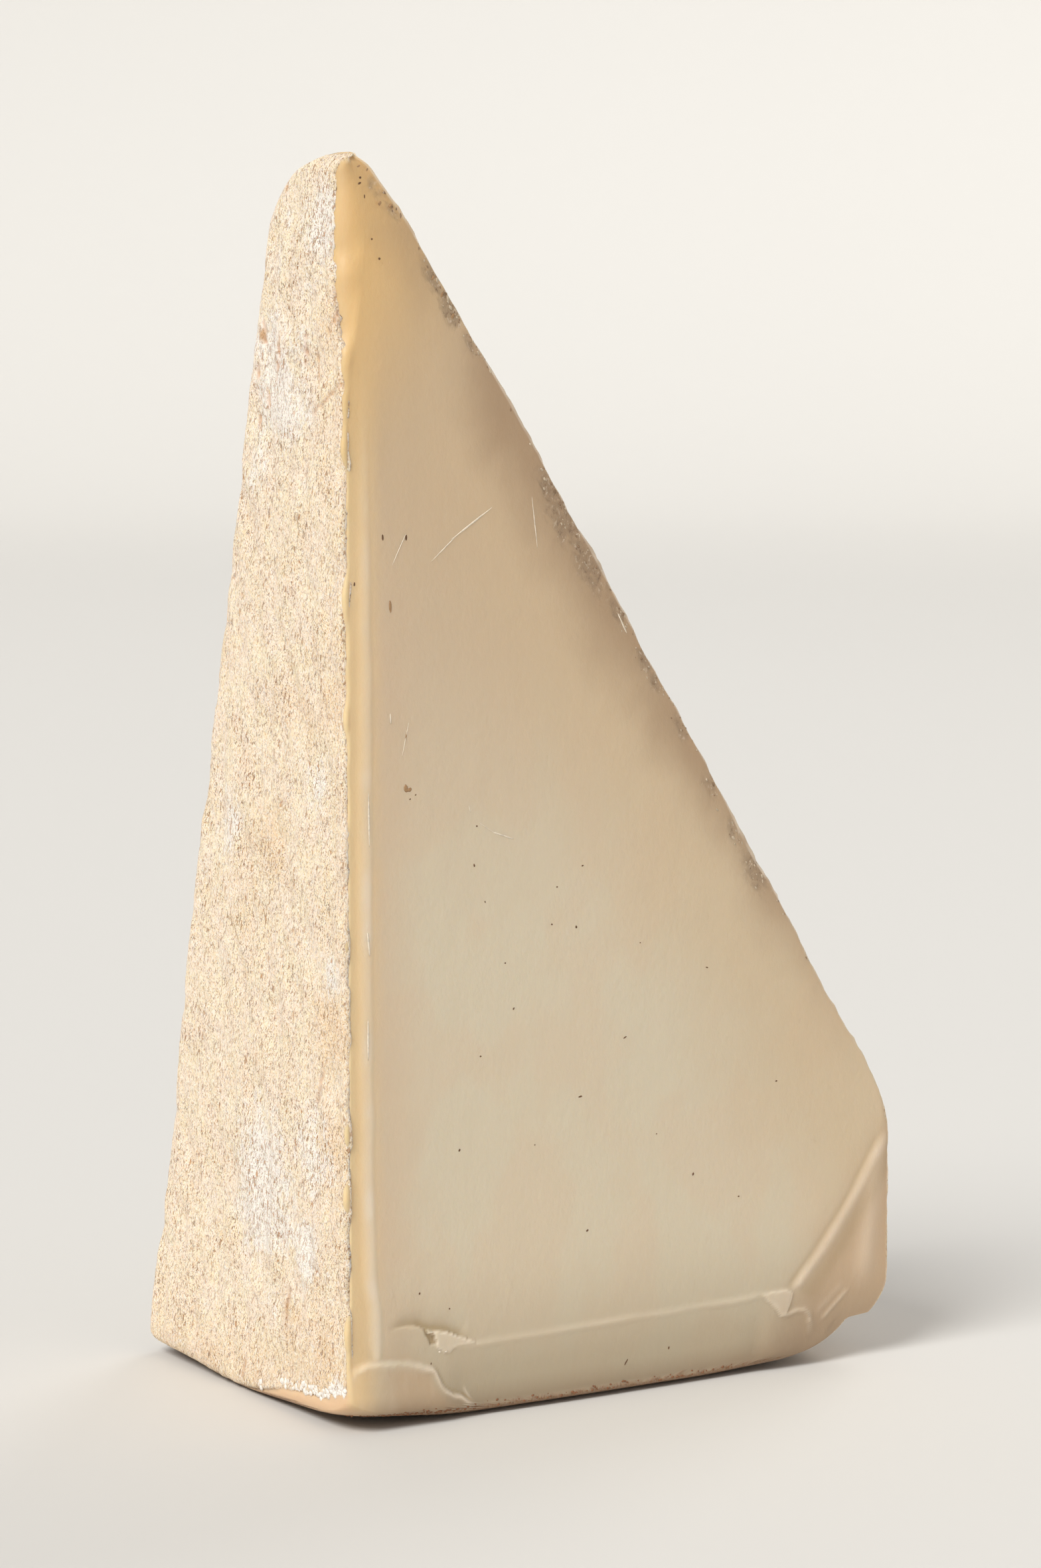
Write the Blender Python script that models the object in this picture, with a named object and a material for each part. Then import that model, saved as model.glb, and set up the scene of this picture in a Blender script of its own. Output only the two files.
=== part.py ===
"""A tall wedge of hard cheese, cut from a wheel and trimmed on the diagonal.

The wedge stands on its heel. One flat rind of the wheel faces -X and tapers up to a rounded tip, and the
other shows as the short upright side at +X. The broad cut face looks along -Y, the second cut face slopes
behind it, and the trimmed face runs down from the tip to the short side. Lengths are in millimetres up to
the last step, which places the solid in metres. Until then the upright edge between the rind and the cut
face is the line x = 0, y = 0, and z = 0 is the level of that edge's foot; the heel's flat middle is lower.
"""

import math

import bmesh
import bpy
from mathutils import Vector, noise

MM = 0.001

# The whole wedge
HEIGHT = 160.0
WHEEL_DEPTH = 85.6
HEEL_WIDTH = 56.0
TAPER = 0.2400
BACK_BOW = 0.9

# The trimmed face, which runs down from the tip; its bow is held above a lowest value
TRIM_FOOT_X, TRIM_FOOT_Z = 79.0, 43.8
TRIM_SLOPE = 0.640
TRIM_BOW, TRIM_LOWEST_BOW = 0.45, -1.0
TRIM_CORNER = 3.5
# Hollows along it: height, depth and half length of each
TRIM_HOLLOWS = ((70.0, 0.8, 6.5), (51.0, 0.5, 7.0))

# Rounding at the tip, seen from the front and from the rind, and how far its sides lean in above a height
TIP_RIND_RADIUS = 2.4
TIP_TRIM_RADIUS = 2.6
TIP_FACE_RADIUS = 1.6
TIP_BACK_RADIUS = 16.0
TIP_BACK_CENTRE_Y = 5.2
TIP_TOP_SIZE = 0.4
TIP_BACK_CUT, TIP_BACK_CUT_AT, TIP_BACK_CUT_HALF = 1.7, 0.75, 1.0
TIP_BACK_LEAN, TIP_BACK_LEAN_FROM = 0.5, 128.0
TIP_TRIM_LEAN, TIP_TRIM_LEAN_FROM = 1.2, 142.0
CROWN_SHARE = 0.5

# Rounding at the heel, and the wheel's broad shoulder below the short rind
RIND_FOOT_RADIUS = 1.6
FACE_FOOT_RADIUS = 1.5
BACK_FOOT_RADIUS = 2.0
SHOULDER_RUN = 21.0
SHOULDER_HEIGHT = 10.0

# The heel is the wheel's rounded rim, pressed flat in the middle: how far its middle and the foot of
# the rind hang down, where the rind is lowest, how low the foot of the cut face is, and how far in
# from each foot the flat part starts
SAG, RIND_SAG = 1.36, 1.25
RIND_SAG_Y, RIND_SAG_NEAR_HALF, RIND_SAG_FAR_HALF = 30.5, 15.0, 11.5
CUT_SAG, CUT_SAG_FROM, CUT_SAG_FULL = 0.72, 8.0, 17.0
CUT_SAG_LESS, CUT_SAG_LESS_FROM, CUT_SAG_LESS_TO = 0.6, 54.0, 66.0
SAG_IN_FROM_RIND, SAG_IN_FROM_CUT, SAG_IN_FROM_BACK = 12.0, 8.0, 8.0
SAG_FADE_HEIGHT = 5.0
HEEL_CENTRE = (38.0, 28.0)
HEEL_RINGS = (0.70, 0.85)

# The notch worn in the shoulder: its middle and half width, its ledge, its depth and how far in it reaches
NOTCH_Y, NOTCH_HALF_Y = 0.5, 9.0
NOTCH_TOP, NOTCH_LEDGE = 4.75, 0.35
NOTCH_DEPTH, NOTCH_REACH = 3.4, 7.0
NOTCH_HEEL_SHARE = 0.3
NOTCH_RIM = 0.5

# Upright edges, as radii in plan; the near one opens out at the tip and at its worn foot
NEAR_EDGE_RADIUS = 0.9
NEAR_TIP_RADIUS, NEAR_TIP_FROM, NEAR_TIP_TO = 3.4, 125.0, 150.0
NEAR_FOOT_RADIUS, NEAR_FOOT_HEIGHT = 17.0, 3.2
TRIM_EDGE_RADIUS = 1.0
FAR_EDGE_RADIUS = 2.0
RIND_BACK_RADIUS = 2.4
LARGEST_RADIUS_SHARE = 0.42

# The pressed strip beside the rind: a shallow drop with a raised line along it, which fades out upwards
STRIP_DROP, STRIP_DROP_WIDTH = 0.10, 2.6
RIDGE_X = 3.1
RIDGE_HEIGHT, RIDGE_HALF_WIDTH = 0.16, 0.8
RIDGE_SWEEP, RIDGE_SWEEP_FROM = 3.2, 22.0
RIDGE_FADE_FROM, RIDGE_TOP = 90.0, 140.0

# The band along the foot of the cut face, below a raised crease
CREASE_Z, CREASE_RISE = 8.3, 0.020
CREASE_HEIGHT, CREASE_HALF_WIDTH = 0.2, 0.45
CREASE_FROM, CREASE_TO, CREASE_FADE = 17.0, 66.0, 3.0
FOOT_DROP = 0.7

# The raised flap over the near foot, with a rim just inside its outline
FLAP_TOP, FLAP_CORNER = 7.6, 2.0
FLAP_END_X = 19.4
FLAP_SLOPE = 0.95
FLAP_HEIGHT, FLAP_BLEND = 0.3, 0.4
FLAP_FROM_X, FLAP_FULL_X = 0.0, 2.5
FLAP_RIM, FLAP_RIM_DEPTH, FLAP_RIM_HALF_WIDTH = 0.12, 0.4, 0.5

# The chip above the flap: a notch and the flake beside it
CHIP_X, CHIP_Z = 12.6, 10.4
CHIP_HALF_X, CHIP_HALF_Z = 1.3, 1.2
CHIP_DEPTH = 0.4
FLAKE_X, FLAKE_Z = 16.0, 9.9
FLAKE_HALF_X, FLAKE_HALF_Z = 2.4, 1.0
FLAKE_HEIGHT = 0.13

# The folded corner by the short rind: (x, z) of each fold's two ends
FOLD_LINE = ((69.3, 9.7), (83.6, 28.0))
FOLD_HEIGHT, FOLD_HALF_WIDTH = 0.24, 0.85
FOLD_GROOVE, FOLD_GROOVE_HALF_WIDTH = 0.08, 0.4
FOLD_DROP, FOLD_DROP_WIDTH = 0.2, 4.0
SMALL_FOLD_LINE = ((74.4, 5.0), (78.6, 8.4))
SMALL_FOLD_HEIGHT, SMALL_FOLD_HALF_WIDTH = 0.14, 0.28
FOLD_FADE = 0.12

# The upright swell beside the short rind
SWELL_X, SWELL_LEAN = 79.9, 0.13
SWELL_HEIGHT, SWELL_HALF_WIDTH = 0.3, 1.6
SWELL_FROM_Z, SWELL_TO_Z, SWELL_FADE = 7.0, 29.0, 6.5

# Crags, waves and the crumbled edge; each fades out towards the heel over its own height
RIND_CRAG_DEPTH, RIND_CRAG_PROUD = 0.4, 0.12
RIND_CRAG_WIDTH, RIND_CRAG_LENGTH = 3.4, 6.5
RIND_SWELL_DEPTH, RIND_SWELL_LENGTH = 0.35, 30.0
EDGE_CRUMBLE, EDGE_CRUMBLE_LENGTH = 0.35, 4.5
TRIM_WAVE, TRIM_WAVE_LENGTH, TRIM_WAVE_STRETCH = 0.6, 15.0, 0.4
TRIM_CRUMB, TRIM_CRUMB_LENGTH = 0.4, 5.0
CUT_SWELL, CUT_SWELL_LENGTH = 0.35, 38.0
SMOOTH_TIP_FROM, SMOOTH_TIP_WEAR = 150.0, 0.7
CUT_FOOT_FADE, BACK_FOOT_FADE, RIND_FOOT_FADE, EDGE_FOOT_FADE = 1.0, 4.0, 4.0, 6.0

# What brings the noise to about -1 to 1, and starting places in it, so that no two reliefs are alike
NOISE_REACH = 1.6
CUT_SWELL_SEED, BACK_SWELL_SEED, RIND_SWELL_SEED = 1.3, 17.1, 4.1
RIND_CRAG_SEED, TRIM_WAVE_SEED, TRIM_CRUMB_SEED, EDGE_SEED = 7.7, 11.9, 13.3, 21.7

# Rows of points up the wedge: (from, to, step)
ROW_ZONES = ((0.0, 3.0, 0.75), (3.0, 4.4, 0.7), (4.4, 4.8, 0.4), (4.8, 6.0, 0.6), (6.0, 12.0, 1.0),
             (12.0, 30.0, 2.0), (30.0, 147.0, 2.6), (147.0, 157.0, 2.0), (157.0, 159.2, 1.1),
             (159.2, 159.85, 0.65))
# Points along the cut face, as distances from the rind edge, then evenly spread
STRIP_POINTS = (0.9, 1.8, 2.6, 3.1, 3.7, 4.6)
STRIP_SHARE = 0.45
CUT_POINTS = 17
TRIM_POINTS = 7
BACK_POINTS = 9
RIND_POINTS = 15
EDGE_POINTS = 3

RIND_COLOUR = (0.84, 0.70, 0.50, 1.0)
PASTE_COLOUR = (0.60, 0.50, 0.36, 1.0)
RIND_ROUGHNESS, PASTE_ROUGHNESS = 0.8, 0.45
RIND_FACING, RIND_LEAN, HEEL_FACING = 0.8, 0.3, 0.7
SHARP_ANGLE = 50.0


def smooth_step(low, high, value):
    t = min(max((value - low) / (high - low), 0.0), 1.0)
    return t * t * (3.0 - 2.0 * t)


def smooth_min(a, b, blend):
    """The smaller of two lengths, with the corner between them rounded over the blend."""
    overlap = max(blend - abs(a - b), 0.0) / blend
    return min(a, b) - overlap * overlap * blend / 4.0


def share_left(distance, reach):
    """1 at the foot and 0 from reach inward, in a straight slope."""
    return min(max(1.0 - distance / reach, 0.0), 1.0)


def bell(distance, half_width):
    return math.exp(-((distance / half_width) ** 2))


def rounding(depth, radius):
    """How far a rounded rim stands back at a depth below its outer end."""
    if depth >= radius:
        return 0.0
    return radius - math.sqrt(radius * radius - (radius - depth) ** 2)


def wander(scale, u, v, seed):
    """Smooth noise between about -1 and 1."""
    return NOISE_REACH * noise.noise(Vector((u / scale, v / scale, seed)))


def rind_side(z):
    return rounding(z, RIND_FOOT_RADIUS) + rounding(HEIGHT - z, TIP_RIND_RADIUS)


def far_side(z):
    """The short rind, the trimmed face above it and the wheel's shoulder below it."""
    half = (HEIGHT - TRIM_FOOT_Z) / 2.0
    bow = TRIM_BOW * (1.0 - ((z - TRIM_FOOT_Z - half) / half) ** 2)
    lean = TIP_TRIM_LEAN * smooth_step(TIP_TRIM_LEAN_FROM, HEIGHT, z)
    trimmed = TRIM_FOOT_X - TRIM_SLOPE * (z - TRIM_FOOT_Z) + max(bow, TRIM_LOWEST_BOW) - lean
    trimmed -= sum(depth * bell(z - middle, half_length) for middle, depth, half_length in TRIM_HOLLOWS)
    shoulder = rounding(z, SHOULDER_HEIGHT) * SHOULDER_RUN / SHOULDER_HEIGHT
    side = smooth_min(WHEEL_DEPTH, trimmed, TRIM_CORNER) - shoulder - rounding(HEIGHT - z, TIP_TRIM_RADIUS)
    return max(side, TIP_RIND_RADIUS + TIP_TOP_SIZE)


def front_side(z):
    return rounding(z, FACE_FOOT_RADIUS) + rounding(HEIGHT - z, TIP_FACE_RADIUS)


def back_side(z):
    bow = BACK_BOW * (1.0 - (2.0 * z / HEIGHT - 1.0) ** 2)
    lean = TIP_BACK_LEAN * smooth_step(TIP_BACK_LEAN_FROM, HEIGHT - TIP_BACK_RADIUS, z)
    side = HEEL_WIDTH - TAPER * z + bow - lean - rounding(z, BACK_FOOT_RADIUS)
    above = z - (HEIGHT - TIP_BACK_RADIUS)
    if above > 0.0:
        arc = math.sqrt(max(TIP_BACK_RADIUS ** 2 - above ** 2, 0.0))
        cut = TIP_BACK_CUT * bell(HEIGHT - z - TIP_BACK_CUT_AT, TIP_BACK_CUT_HALF)
        side = min(side, TIP_BACK_CENTRE_Y + arc - cut)
    return side


def heel_sag(x, y):
    """How far the underside hangs below the foot of the upright edge."""
    half = RIND_SAG_NEAR_HALF if y < RIND_SAG_Y else RIND_SAG_FAR_HALF
    at_rind = RIND_SAG * bell(y - RIND_SAG_Y, half)
    less = CUT_SAG_LESS * smooth_step(CUT_SAG_LESS_FROM, CUT_SAG_LESS_TO, x)
    at_cut = CUT_SAG * smooth_step(CUT_SAG_FROM, CUT_SAG_FULL, x) * (1.0 - less)
    lack = math.hypot((SAG - at_rind) * share_left(x, SAG_IN_FROM_RIND),
                      (SAG - at_cut) * share_left(y, SAG_IN_FROM_CUT),
                      SAG * share_left(HEEL_WIDTH - y, SAG_IN_FROM_BACK))
    return SAG - lack


def settled(point):
    """The point with the heel's rounding worked in, which fades out above the foot."""
    fade = max(1.0 - point.z / SAG_FADE_HEIGHT, 0.0) ** 2
    return Vector((point.x, point.y, point.z - fade * heel_sag(point.x, point.y)))


def near_edge_radius(z):
    tip = smooth_step(NEAR_TIP_FROM, NEAR_TIP_TO, z) * (NEAR_TIP_RADIUS - NEAR_EDGE_RADIUS)
    foot = rounding(z, NEAR_FOOT_HEIGHT) / NEAR_FOOT_HEIGHT * (NEAR_FOOT_RADIUS - NEAR_EDGE_RADIUS)
    return NEAR_EDGE_RADIUS + tip + foot


def ridge_x(z):
    sweep = max(RIDGE_SWEEP_FROM - z, 0.0) / RIDGE_SWEEP_FROM
    return RIDGE_X + RIDGE_SWEEP * sweep * sweep


def line_distance(x, z, line):
    """Signed distance from a fold line, positive below and right of it, and the fraction along it."""
    (x0, z0), (x1, z1) = line
    length = math.hypot(x1 - x0, z1 - z0)
    along = ((x - x0) * (x1 - x0) + (z - z0) * (z1 - z0)) / (length * length)
    across = ((x - x0) * (z1 - z0) - (z - z0) * (x1 - x0)) / length
    return across, along


def strip_relief(x, z):
    fade = 1.0 - smooth_step(RIDGE_FADE_FROM, RIDGE_TOP, z)
    at = x - ridge_x(z)
    drop = STRIP_DROP * (1.0 - smooth_step(-STRIP_DROP_WIDTH, 0.0, at))
    return fade * (RIDGE_HEIGHT * bell(at, RIDGE_HALF_WIDTH) - drop)


def foot_relief(x, z):
    crease = CREASE_Z + CREASE_RISE * (x - CREASE_FROM)
    span = smooth_step(CREASE_FROM - CREASE_FADE, CREASE_FROM, x)
    span *= 1.0 - smooth_step(CREASE_TO - CREASE_FADE, CREASE_TO, x)
    drop = FOOT_DROP * (1.0 - smooth_step(0.0, crease, z))
    return span * (CREASE_HEIGHT * bell(z - crease, CREASE_HALF_WIDTH) - drop)


def flap_relief(x, z):
    inside = smooth_min(FLAP_TOP, FLAP_SLOPE * (FLAP_END_X - x), FLAP_CORNER) - z
    raised = FLAP_HEIGHT * smooth_step(-FLAP_BLEND, FLAP_BLEND, inside)
    rim = FLAP_RIM * bell(inside - FLAP_RIM_DEPTH, FLAP_RIM_HALF_WIDTH)
    return (raised + rim) * smooth_step(FLAP_FROM_X, FLAP_FULL_X, x)


def chip_relief(x, z):
    notch = CHIP_DEPTH * bell(x - CHIP_X, CHIP_HALF_X) * bell(z - CHIP_Z, CHIP_HALF_Z)
    flake = FLAKE_HEIGHT * bell(x - FLAKE_X, FLAKE_HALF_X) * bell(z - FLAKE_Z, FLAKE_HALF_Z)
    return flake - notch


def within(along, fade):
    """1 along a line and 0 beyond its ends, for a fraction along it."""
    return smooth_step(-fade, 0.0, along) * (1.0 - smooth_step(1.0, 1.0 + fade, along))


def fold_relief(x, z):
    across, along = line_distance(x, z, FOLD_LINE)
    ridge = FOLD_HEIGHT * bell(across, FOLD_HALF_WIDTH)
    groove = FOLD_GROOVE * bell(across + FOLD_HALF_WIDTH, FOLD_GROOVE_HALF_WIDTH)
    sunk = FOLD_DROP * smooth_step(0.0, FOLD_DROP_WIDTH, across)
    small_across, small_along = line_distance(x, z, SMALL_FOLD_LINE)
    small = SMALL_FOLD_HEIGHT * bell(small_across, SMALL_FOLD_HALF_WIDTH) * within(small_along, FOLD_FADE)
    return within(along, FOLD_FADE) * (ridge - groove - sunk) + small


def swell_relief(x, z):
    """An upright swell in the paste beside the short rind."""
    rise = smooth_step(SWELL_FROM_Z, SWELL_FROM_Z + SWELL_FADE, z)
    rise *= 1.0 - smooth_step(SWELL_TO_Z - SWELL_FADE, SWELL_TO_Z, z)
    return SWELL_HEIGHT * rise * bell(x - SWELL_X - SWELL_LEAN * z, SWELL_HALF_WIDTH)


def cut_face_relief(x, z):
    swell = CUT_SWELL * wander(CUT_SWELL_LENGTH, x, z, CUT_SWELL_SEED)
    raised = strip_relief(x, z) + foot_relief(x, z) + flap_relief(x, z) + chip_relief(x, z)
    raised += fold_relief(x, z) + swell_relief(x, z)
    return swell + raised * smooth_step(0.0, CUT_FOOT_FADE, z)


def rind_relief(y, z):
    """Crags and hollows of the rind, which run up and down; the tip is worn smooth."""
    swell = RIND_SWELL_DEPTH * wander(RIND_SWELL_LENGTH, y, z, RIND_SWELL_SEED)
    stretch = RIND_CRAG_WIDTH / RIND_CRAG_LENGTH
    crag = RIND_CRAG_DEPTH * wander(RIND_CRAG_WIDTH, y, z * stretch, RIND_CRAG_SEED)
    worn = 1.0 - SMOOTH_TIP_WEAR * smooth_step(SMOOTH_TIP_FROM, HEIGHT, z)
    return (swell + min(crag, RIND_CRAG_PROUD)) * worn * smooth_step(0.0, RIND_FOOT_FADE, z)


def trimmed_relief(y, z):
    """Waves and crumbs of the trimmed face, calmer on the short rind."""
    wave = TRIM_WAVE * wander(TRIM_WAVE_LENGTH, TRIM_WAVE_STRETCH * y, z, TRIM_WAVE_SEED)
    crumb = TRIM_CRUMB * wander(TRIM_CRUMB_LENGTH, y, z, TRIM_CRUMB_SEED)
    trimmed = smooth_step(SHOULDER_HEIGHT, TRIM_FOOT_Z, z) * (1.0 - smooth_step(SMOOTH_TIP_FROM, HEIGHT, z))
    return (wave + crumb) * trimmed


def back_relief(x, z):
    swell = CUT_SWELL * wander(CUT_SWELL_LENGTH, x, z, BACK_SWELL_SEED)
    return swell * smooth_step(0.0, BACK_FOOT_FADE, z)


def edge_relief(z):
    crumble = EDGE_CRUMBLE * wander(EDGE_CRUMBLE_LENGTH, 0.0, z, EDGE_SEED)
    return crumble * smooth_step(0.0, EDGE_FOOT_FADE, z)


def notch_shift(x, y, z):
    """How far the notch in the shoulder moves a place of the wedge inwards."""
    depth = NOTCH_DEPTH * (NOTCH_HEEL_SHARE + (1.0 - NOTCH_HEEL_SHARE) * z / NOTCH_TOP)
    depth *= bell(y - NOTCH_Y, NOTCH_HALF_Y) * (1.0 - smooth_step(NOTCH_TOP - NOTCH_LEDGE, NOTCH_TOP, z))
    far = far_side(z)
    return depth * smooth_step(far - NOTCH_REACH, far - NOTCH_RIM, x)


def relief(x, y, z, nx, ny):
    """Outward offset of a point whose wall faces (nx, ny) in plan."""
    offset = max(-nx, 0.0) ** 2 * rind_relief(y, z) + max(nx, 0.0) ** 2 * trimmed_relief(y, z)
    offset += max(-ny, 0.0) ** 2 * cut_face_relief(x, z) + max(ny, 0.0) ** 2 * back_relief(x, z)
    if nx < 0.0 and ny < 0.0:
        offset += 4.0 * nx * ny * edge_relief(z)
    return offset


def even(count):
    return [i / count for i in range(1, count)]


def cut_fractions(run):
    """Fractions along the cut face: close together over the pressed strip, then even."""
    scale = min(1.0, STRIP_SHARE * run / STRIP_POINTS[-1])
    start = STRIP_POINTS[-1] * scale / run
    strip = [d * scale / run for d in STRIP_POINTS]
    return strip + [start + (1.0 - start) * t for t in even(CUT_POINTS)]


def arc(centre, radius, start_degrees):
    """Points and outward directions of a quarter turn, both ends included."""
    points = []
    for i in range(EDGE_POINTS + 1):
        angle = math.radians(start_degrees + 90.0 * i / EDGE_POINTS)
        nx, ny = math.cos(angle), math.sin(angle)
        points.append((centre[0] + radius * nx, centre[1] + radius * ny, nx, ny))
    return points


def run_between(start, end, fractions):
    """Points between two arc ends, all facing the way the first of them does."""
    x, y, nx, ny = start
    return [(x + t * (end[0] - x), y + t * (end[1] - y), nx, ny) for t in fractions]


def section(z):
    """The closed loop of points round the wedge at one height."""
    left, right, front, back = rind_side(z), far_side(z), front_side(z), back_side(z)
    largest = LARGEST_RADIUS_SHARE * min(right - left, back - front)
    near, trim, far, rind = (min(radius, largest) for radius in
                             (near_edge_radius(z), TRIM_EDGE_RADIUS, FAR_EDGE_RADIUS, RIND_BACK_RADIUS))
    trim_arc = arc((right - trim, front + trim), trim, -90.0)
    far_arc = arc((right - far, back - far), far, 0.0)
    rind_arc = arc((left + rind, back - rind), rind, 90.0)
    near_arc = arc((left + near, front + near), near, 180.0)
    cut_run = trim_arc[0][0] - near_arc[-1][0]
    loop = run_between(near_arc[-1], trim_arc[0], cut_fractions(cut_run)) + trim_arc
    loop += run_between(trim_arc[-1], far_arc[0], even(TRIM_POINTS)) + far_arc
    loop += run_between(far_arc[-1], rind_arc[0], even(BACK_POINTS)) + rind_arc
    loop += run_between(rind_arc[-1], near_arc[0], even(RIND_POINTS)) + near_arc
    points = []
    for x, y, nx, ny in loop:
        offset = relief(x, y, z, nx, ny)
        points.append(Vector((x + offset * nx - notch_shift(x, y, z), y + offset * ny, z)))
    return points


def heights():
    rows = [0.0]
    for low, high, step in ROW_ZONES:
        count = round((high - low) / step)
        rows += [low + (high - low) * i / count for i in range(1, count + 1)]
    return rows


def crown(points):
    """A last, smaller loop that closes the tip."""
    centre = sum(points, Vector()) / len(points)
    smaller = [centre + CROWN_SHARE * (p - centre) for p in points]
    return [Vector((p.x, p.y, HEIGHT)) for p in smaller]


def heel_loops(foot):
    """Loops on the underside, from its flat middle out towards the foot."""
    centre = Vector((*HEEL_CENTRE, 0.0))
    return [[centre + share * (p - centre) for p in foot] for share in HEEL_RINGS]


def wedge_mesh():
    sections = [section(z) for z in heights()]
    loops = heel_loops(sections[0]) + sections + [crown(sections[-1])]
    mesh = bmesh.new()
    rings = [[mesh.verts.new(settled(p)) for p in loop] for loop in loops]
    for lower, upper in zip(rings, rings[1:]):
        for i in range(len(lower)):
            j = (i + 1) % len(lower)
            mesh.faces.new((lower[i], lower[j], upper[j], upper[i]))
    mesh.faces.new(reversed(rings[0]))
    mesh.faces.new(rings[-1])
    return mesh


def stand_on_origin(mesh):
    """Centres the wedge's box on the origin, stands its heel on z = 0 and turns millimetres into metres."""
    xs = [v.co.x for v in mesh.verts]
    ys = [v.co.y for v in mesh.verts]
    shift = Vector(((min(xs) + max(xs)) / 2.0, (min(ys) + max(ys)) / 2.0, -SAG))
    for v in mesh.verts:
        v.co = (v.co - shift) * MM


def cheese_material(name, colour, roughness):
    material = bpy.data.materials.new(name)
    material.use_nodes = True
    shader = material.node_tree.nodes["Principled BSDF"]
    shader.inputs["Base Color"].default_value = colour
    shader.inputs["Roughness"].default_value = roughness
    shader.inputs["Metallic"].default_value = 0.0
    return material


def give_materials(wedge):
    """The rind takes the faces that look along -X, the short side at +X and the heel."""
    wedge.materials.append(cheese_material("paste", PASTE_COLOUR, PASTE_ROUGHNESS))
    wedge.materials.append(cheese_material("rind", RIND_COLOUR, RIND_ROUGHNESS))
    for face in wedge.polygons:
        upright_rind = abs(face.normal.x) > RIND_FACING and abs(face.normal.z) < RIND_LEAN
        if upright_rind or face.normal.z < -HEEL_FACING:
            face.material_index = 1


def clear_scene():
    for thing in list(bpy.data.objects):
        bpy.data.objects.remove(thing)


def build():
    clear_scene()
    mesh = wedge_mesh()
    stand_on_origin(mesh)
    data = bpy.data.meshes.new("cheese_wedge")
    mesh.to_mesh(data)
    mesh.free()
    give_materials(data)
    data.shade_smooth()
    data.set_sharp_from_angle(angle=math.radians(SHARP_ANGLE))
    wedge = bpy.data.objects.new("cheese_wedge", data)
    bpy.context.scene.collection.objects.link(wedge)


build()
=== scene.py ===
"""Looks of a tall wedge of hard cheese, laid out as a Blender add-on and run as a script.

The wedge stands on its heel. Lengths are in millimetres, measured from the upright edge between the rind
and the cut face: x along the cut face, y along the rind, z up. The last step of each piece turns them into
metres in the model's frame.
"""

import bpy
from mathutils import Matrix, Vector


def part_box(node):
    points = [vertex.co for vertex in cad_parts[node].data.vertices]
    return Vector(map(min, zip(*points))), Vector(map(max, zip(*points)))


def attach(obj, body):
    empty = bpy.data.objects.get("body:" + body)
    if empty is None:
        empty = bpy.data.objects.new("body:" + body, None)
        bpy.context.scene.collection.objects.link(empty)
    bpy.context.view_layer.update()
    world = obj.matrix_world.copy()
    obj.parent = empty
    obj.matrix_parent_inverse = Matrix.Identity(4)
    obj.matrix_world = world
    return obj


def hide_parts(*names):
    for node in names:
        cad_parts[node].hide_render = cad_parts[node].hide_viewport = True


bl_info = {
    "name": "Hard Cheese Wedge",
    "version": (1, 0, 0),
    "blender": (4, 5, 0),
    "location": "3D View > Sidebar > Cheese",
    "description": "Dresses a wedge of hard cheese: paste, rind, crumbs and marks, and its studio",
    "category": "Object",
}

import math
import random

import bpy
from bpy.props import FloatProperty, FloatVectorProperty, IntProperty, PointerProperty
from bpy.types import Operator, Panel, PropertyGroup
from mathutils import Vector, noise

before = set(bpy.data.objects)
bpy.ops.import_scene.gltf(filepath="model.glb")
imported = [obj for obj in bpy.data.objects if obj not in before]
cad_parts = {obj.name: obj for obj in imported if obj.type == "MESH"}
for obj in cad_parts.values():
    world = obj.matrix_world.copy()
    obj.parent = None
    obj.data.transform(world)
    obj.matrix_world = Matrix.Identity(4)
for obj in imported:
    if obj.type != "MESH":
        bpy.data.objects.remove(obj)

MM = 0.001
NODE = "cheese_wedge"
BODY = "root"

BOX_LOW, BOX_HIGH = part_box(NODE)
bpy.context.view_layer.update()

# The rind's crags and the flap stand this far outside the upright edge
EDGE_IN_X, EDGE_IN_Y = 0.4879, 0.5014
EDGE_X = BOX_LOW.x / MM + EDGE_IN_X
EDGE_Y = BOX_LOW.y / MM + EDGE_IN_Y

# The heel is the wheel's rounded rim, pressed flat in the middle: how far its middle and the foot of
# the rind hang down, where the rind is lowest, how low the foot of the cut face is, and how far in
# from each foot the flat part starts
SAG, RIND_SAG = 1.36, 1.25
RIND_SAG_Y, RIND_SAG_NEAR_HALF, RIND_SAG_FAR_HALF = 30.5, 15.0, 11.5
CUT_SAG, CUT_SAG_FROM, CUT_SAG_FULL = 0.72, 8.0, 17.0
CUT_SAG_LESS, CUT_SAG_LESS_FROM, CUT_SAG_LESS_TO = 0.6, 54.0, 66.0
SAG_IN_FROM_RIND, SAG_IN_FROM_CUT, SAG_IN_FROM_BACK = 12.0, 8.0, 8.0
SAG_FADE_HEIGHT = 5.0
HEEL_CENTRE = (38.0, 28.0)
HEEL_RINGS = (0.70, 0.775, 0.85, 0.90, 0.95)
EDGE_Z = BOX_LOW.z / MM + SAG

# The whole wedge
HEIGHT = BOX_HIGH.z / MM - EDGE_Z
WHEEL_DEPTH = 85.6
HEEL_WIDTH = 56.0
TAPER = 0.2400
BACK_BOW = 0.9

# The trimmed face, which runs down from the tip
TRIM_FOOT_X, TRIM_FOOT_Z = 79.0, 43.8
TRIM_SLOPE = 0.640
TRIM_BOW = 0.45
TRIM_CORNER = 3.5
# Hollows along it: height, depth and half length of each
TRIM_HOLLOWS = ((70.0, 0.8, 6.5), (51.0, 0.5, 7.0))
TRIM_TILT = math.atan(TRIM_SLOPE)
TRIM_FACING = (math.cos(TRIM_TILT), 0.0, math.sin(TRIM_TILT))
TRIM_REACH = TRIM_FACING[0] * TRIM_FOOT_X + TRIM_FACING[2] * TRIM_FOOT_Z

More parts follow.
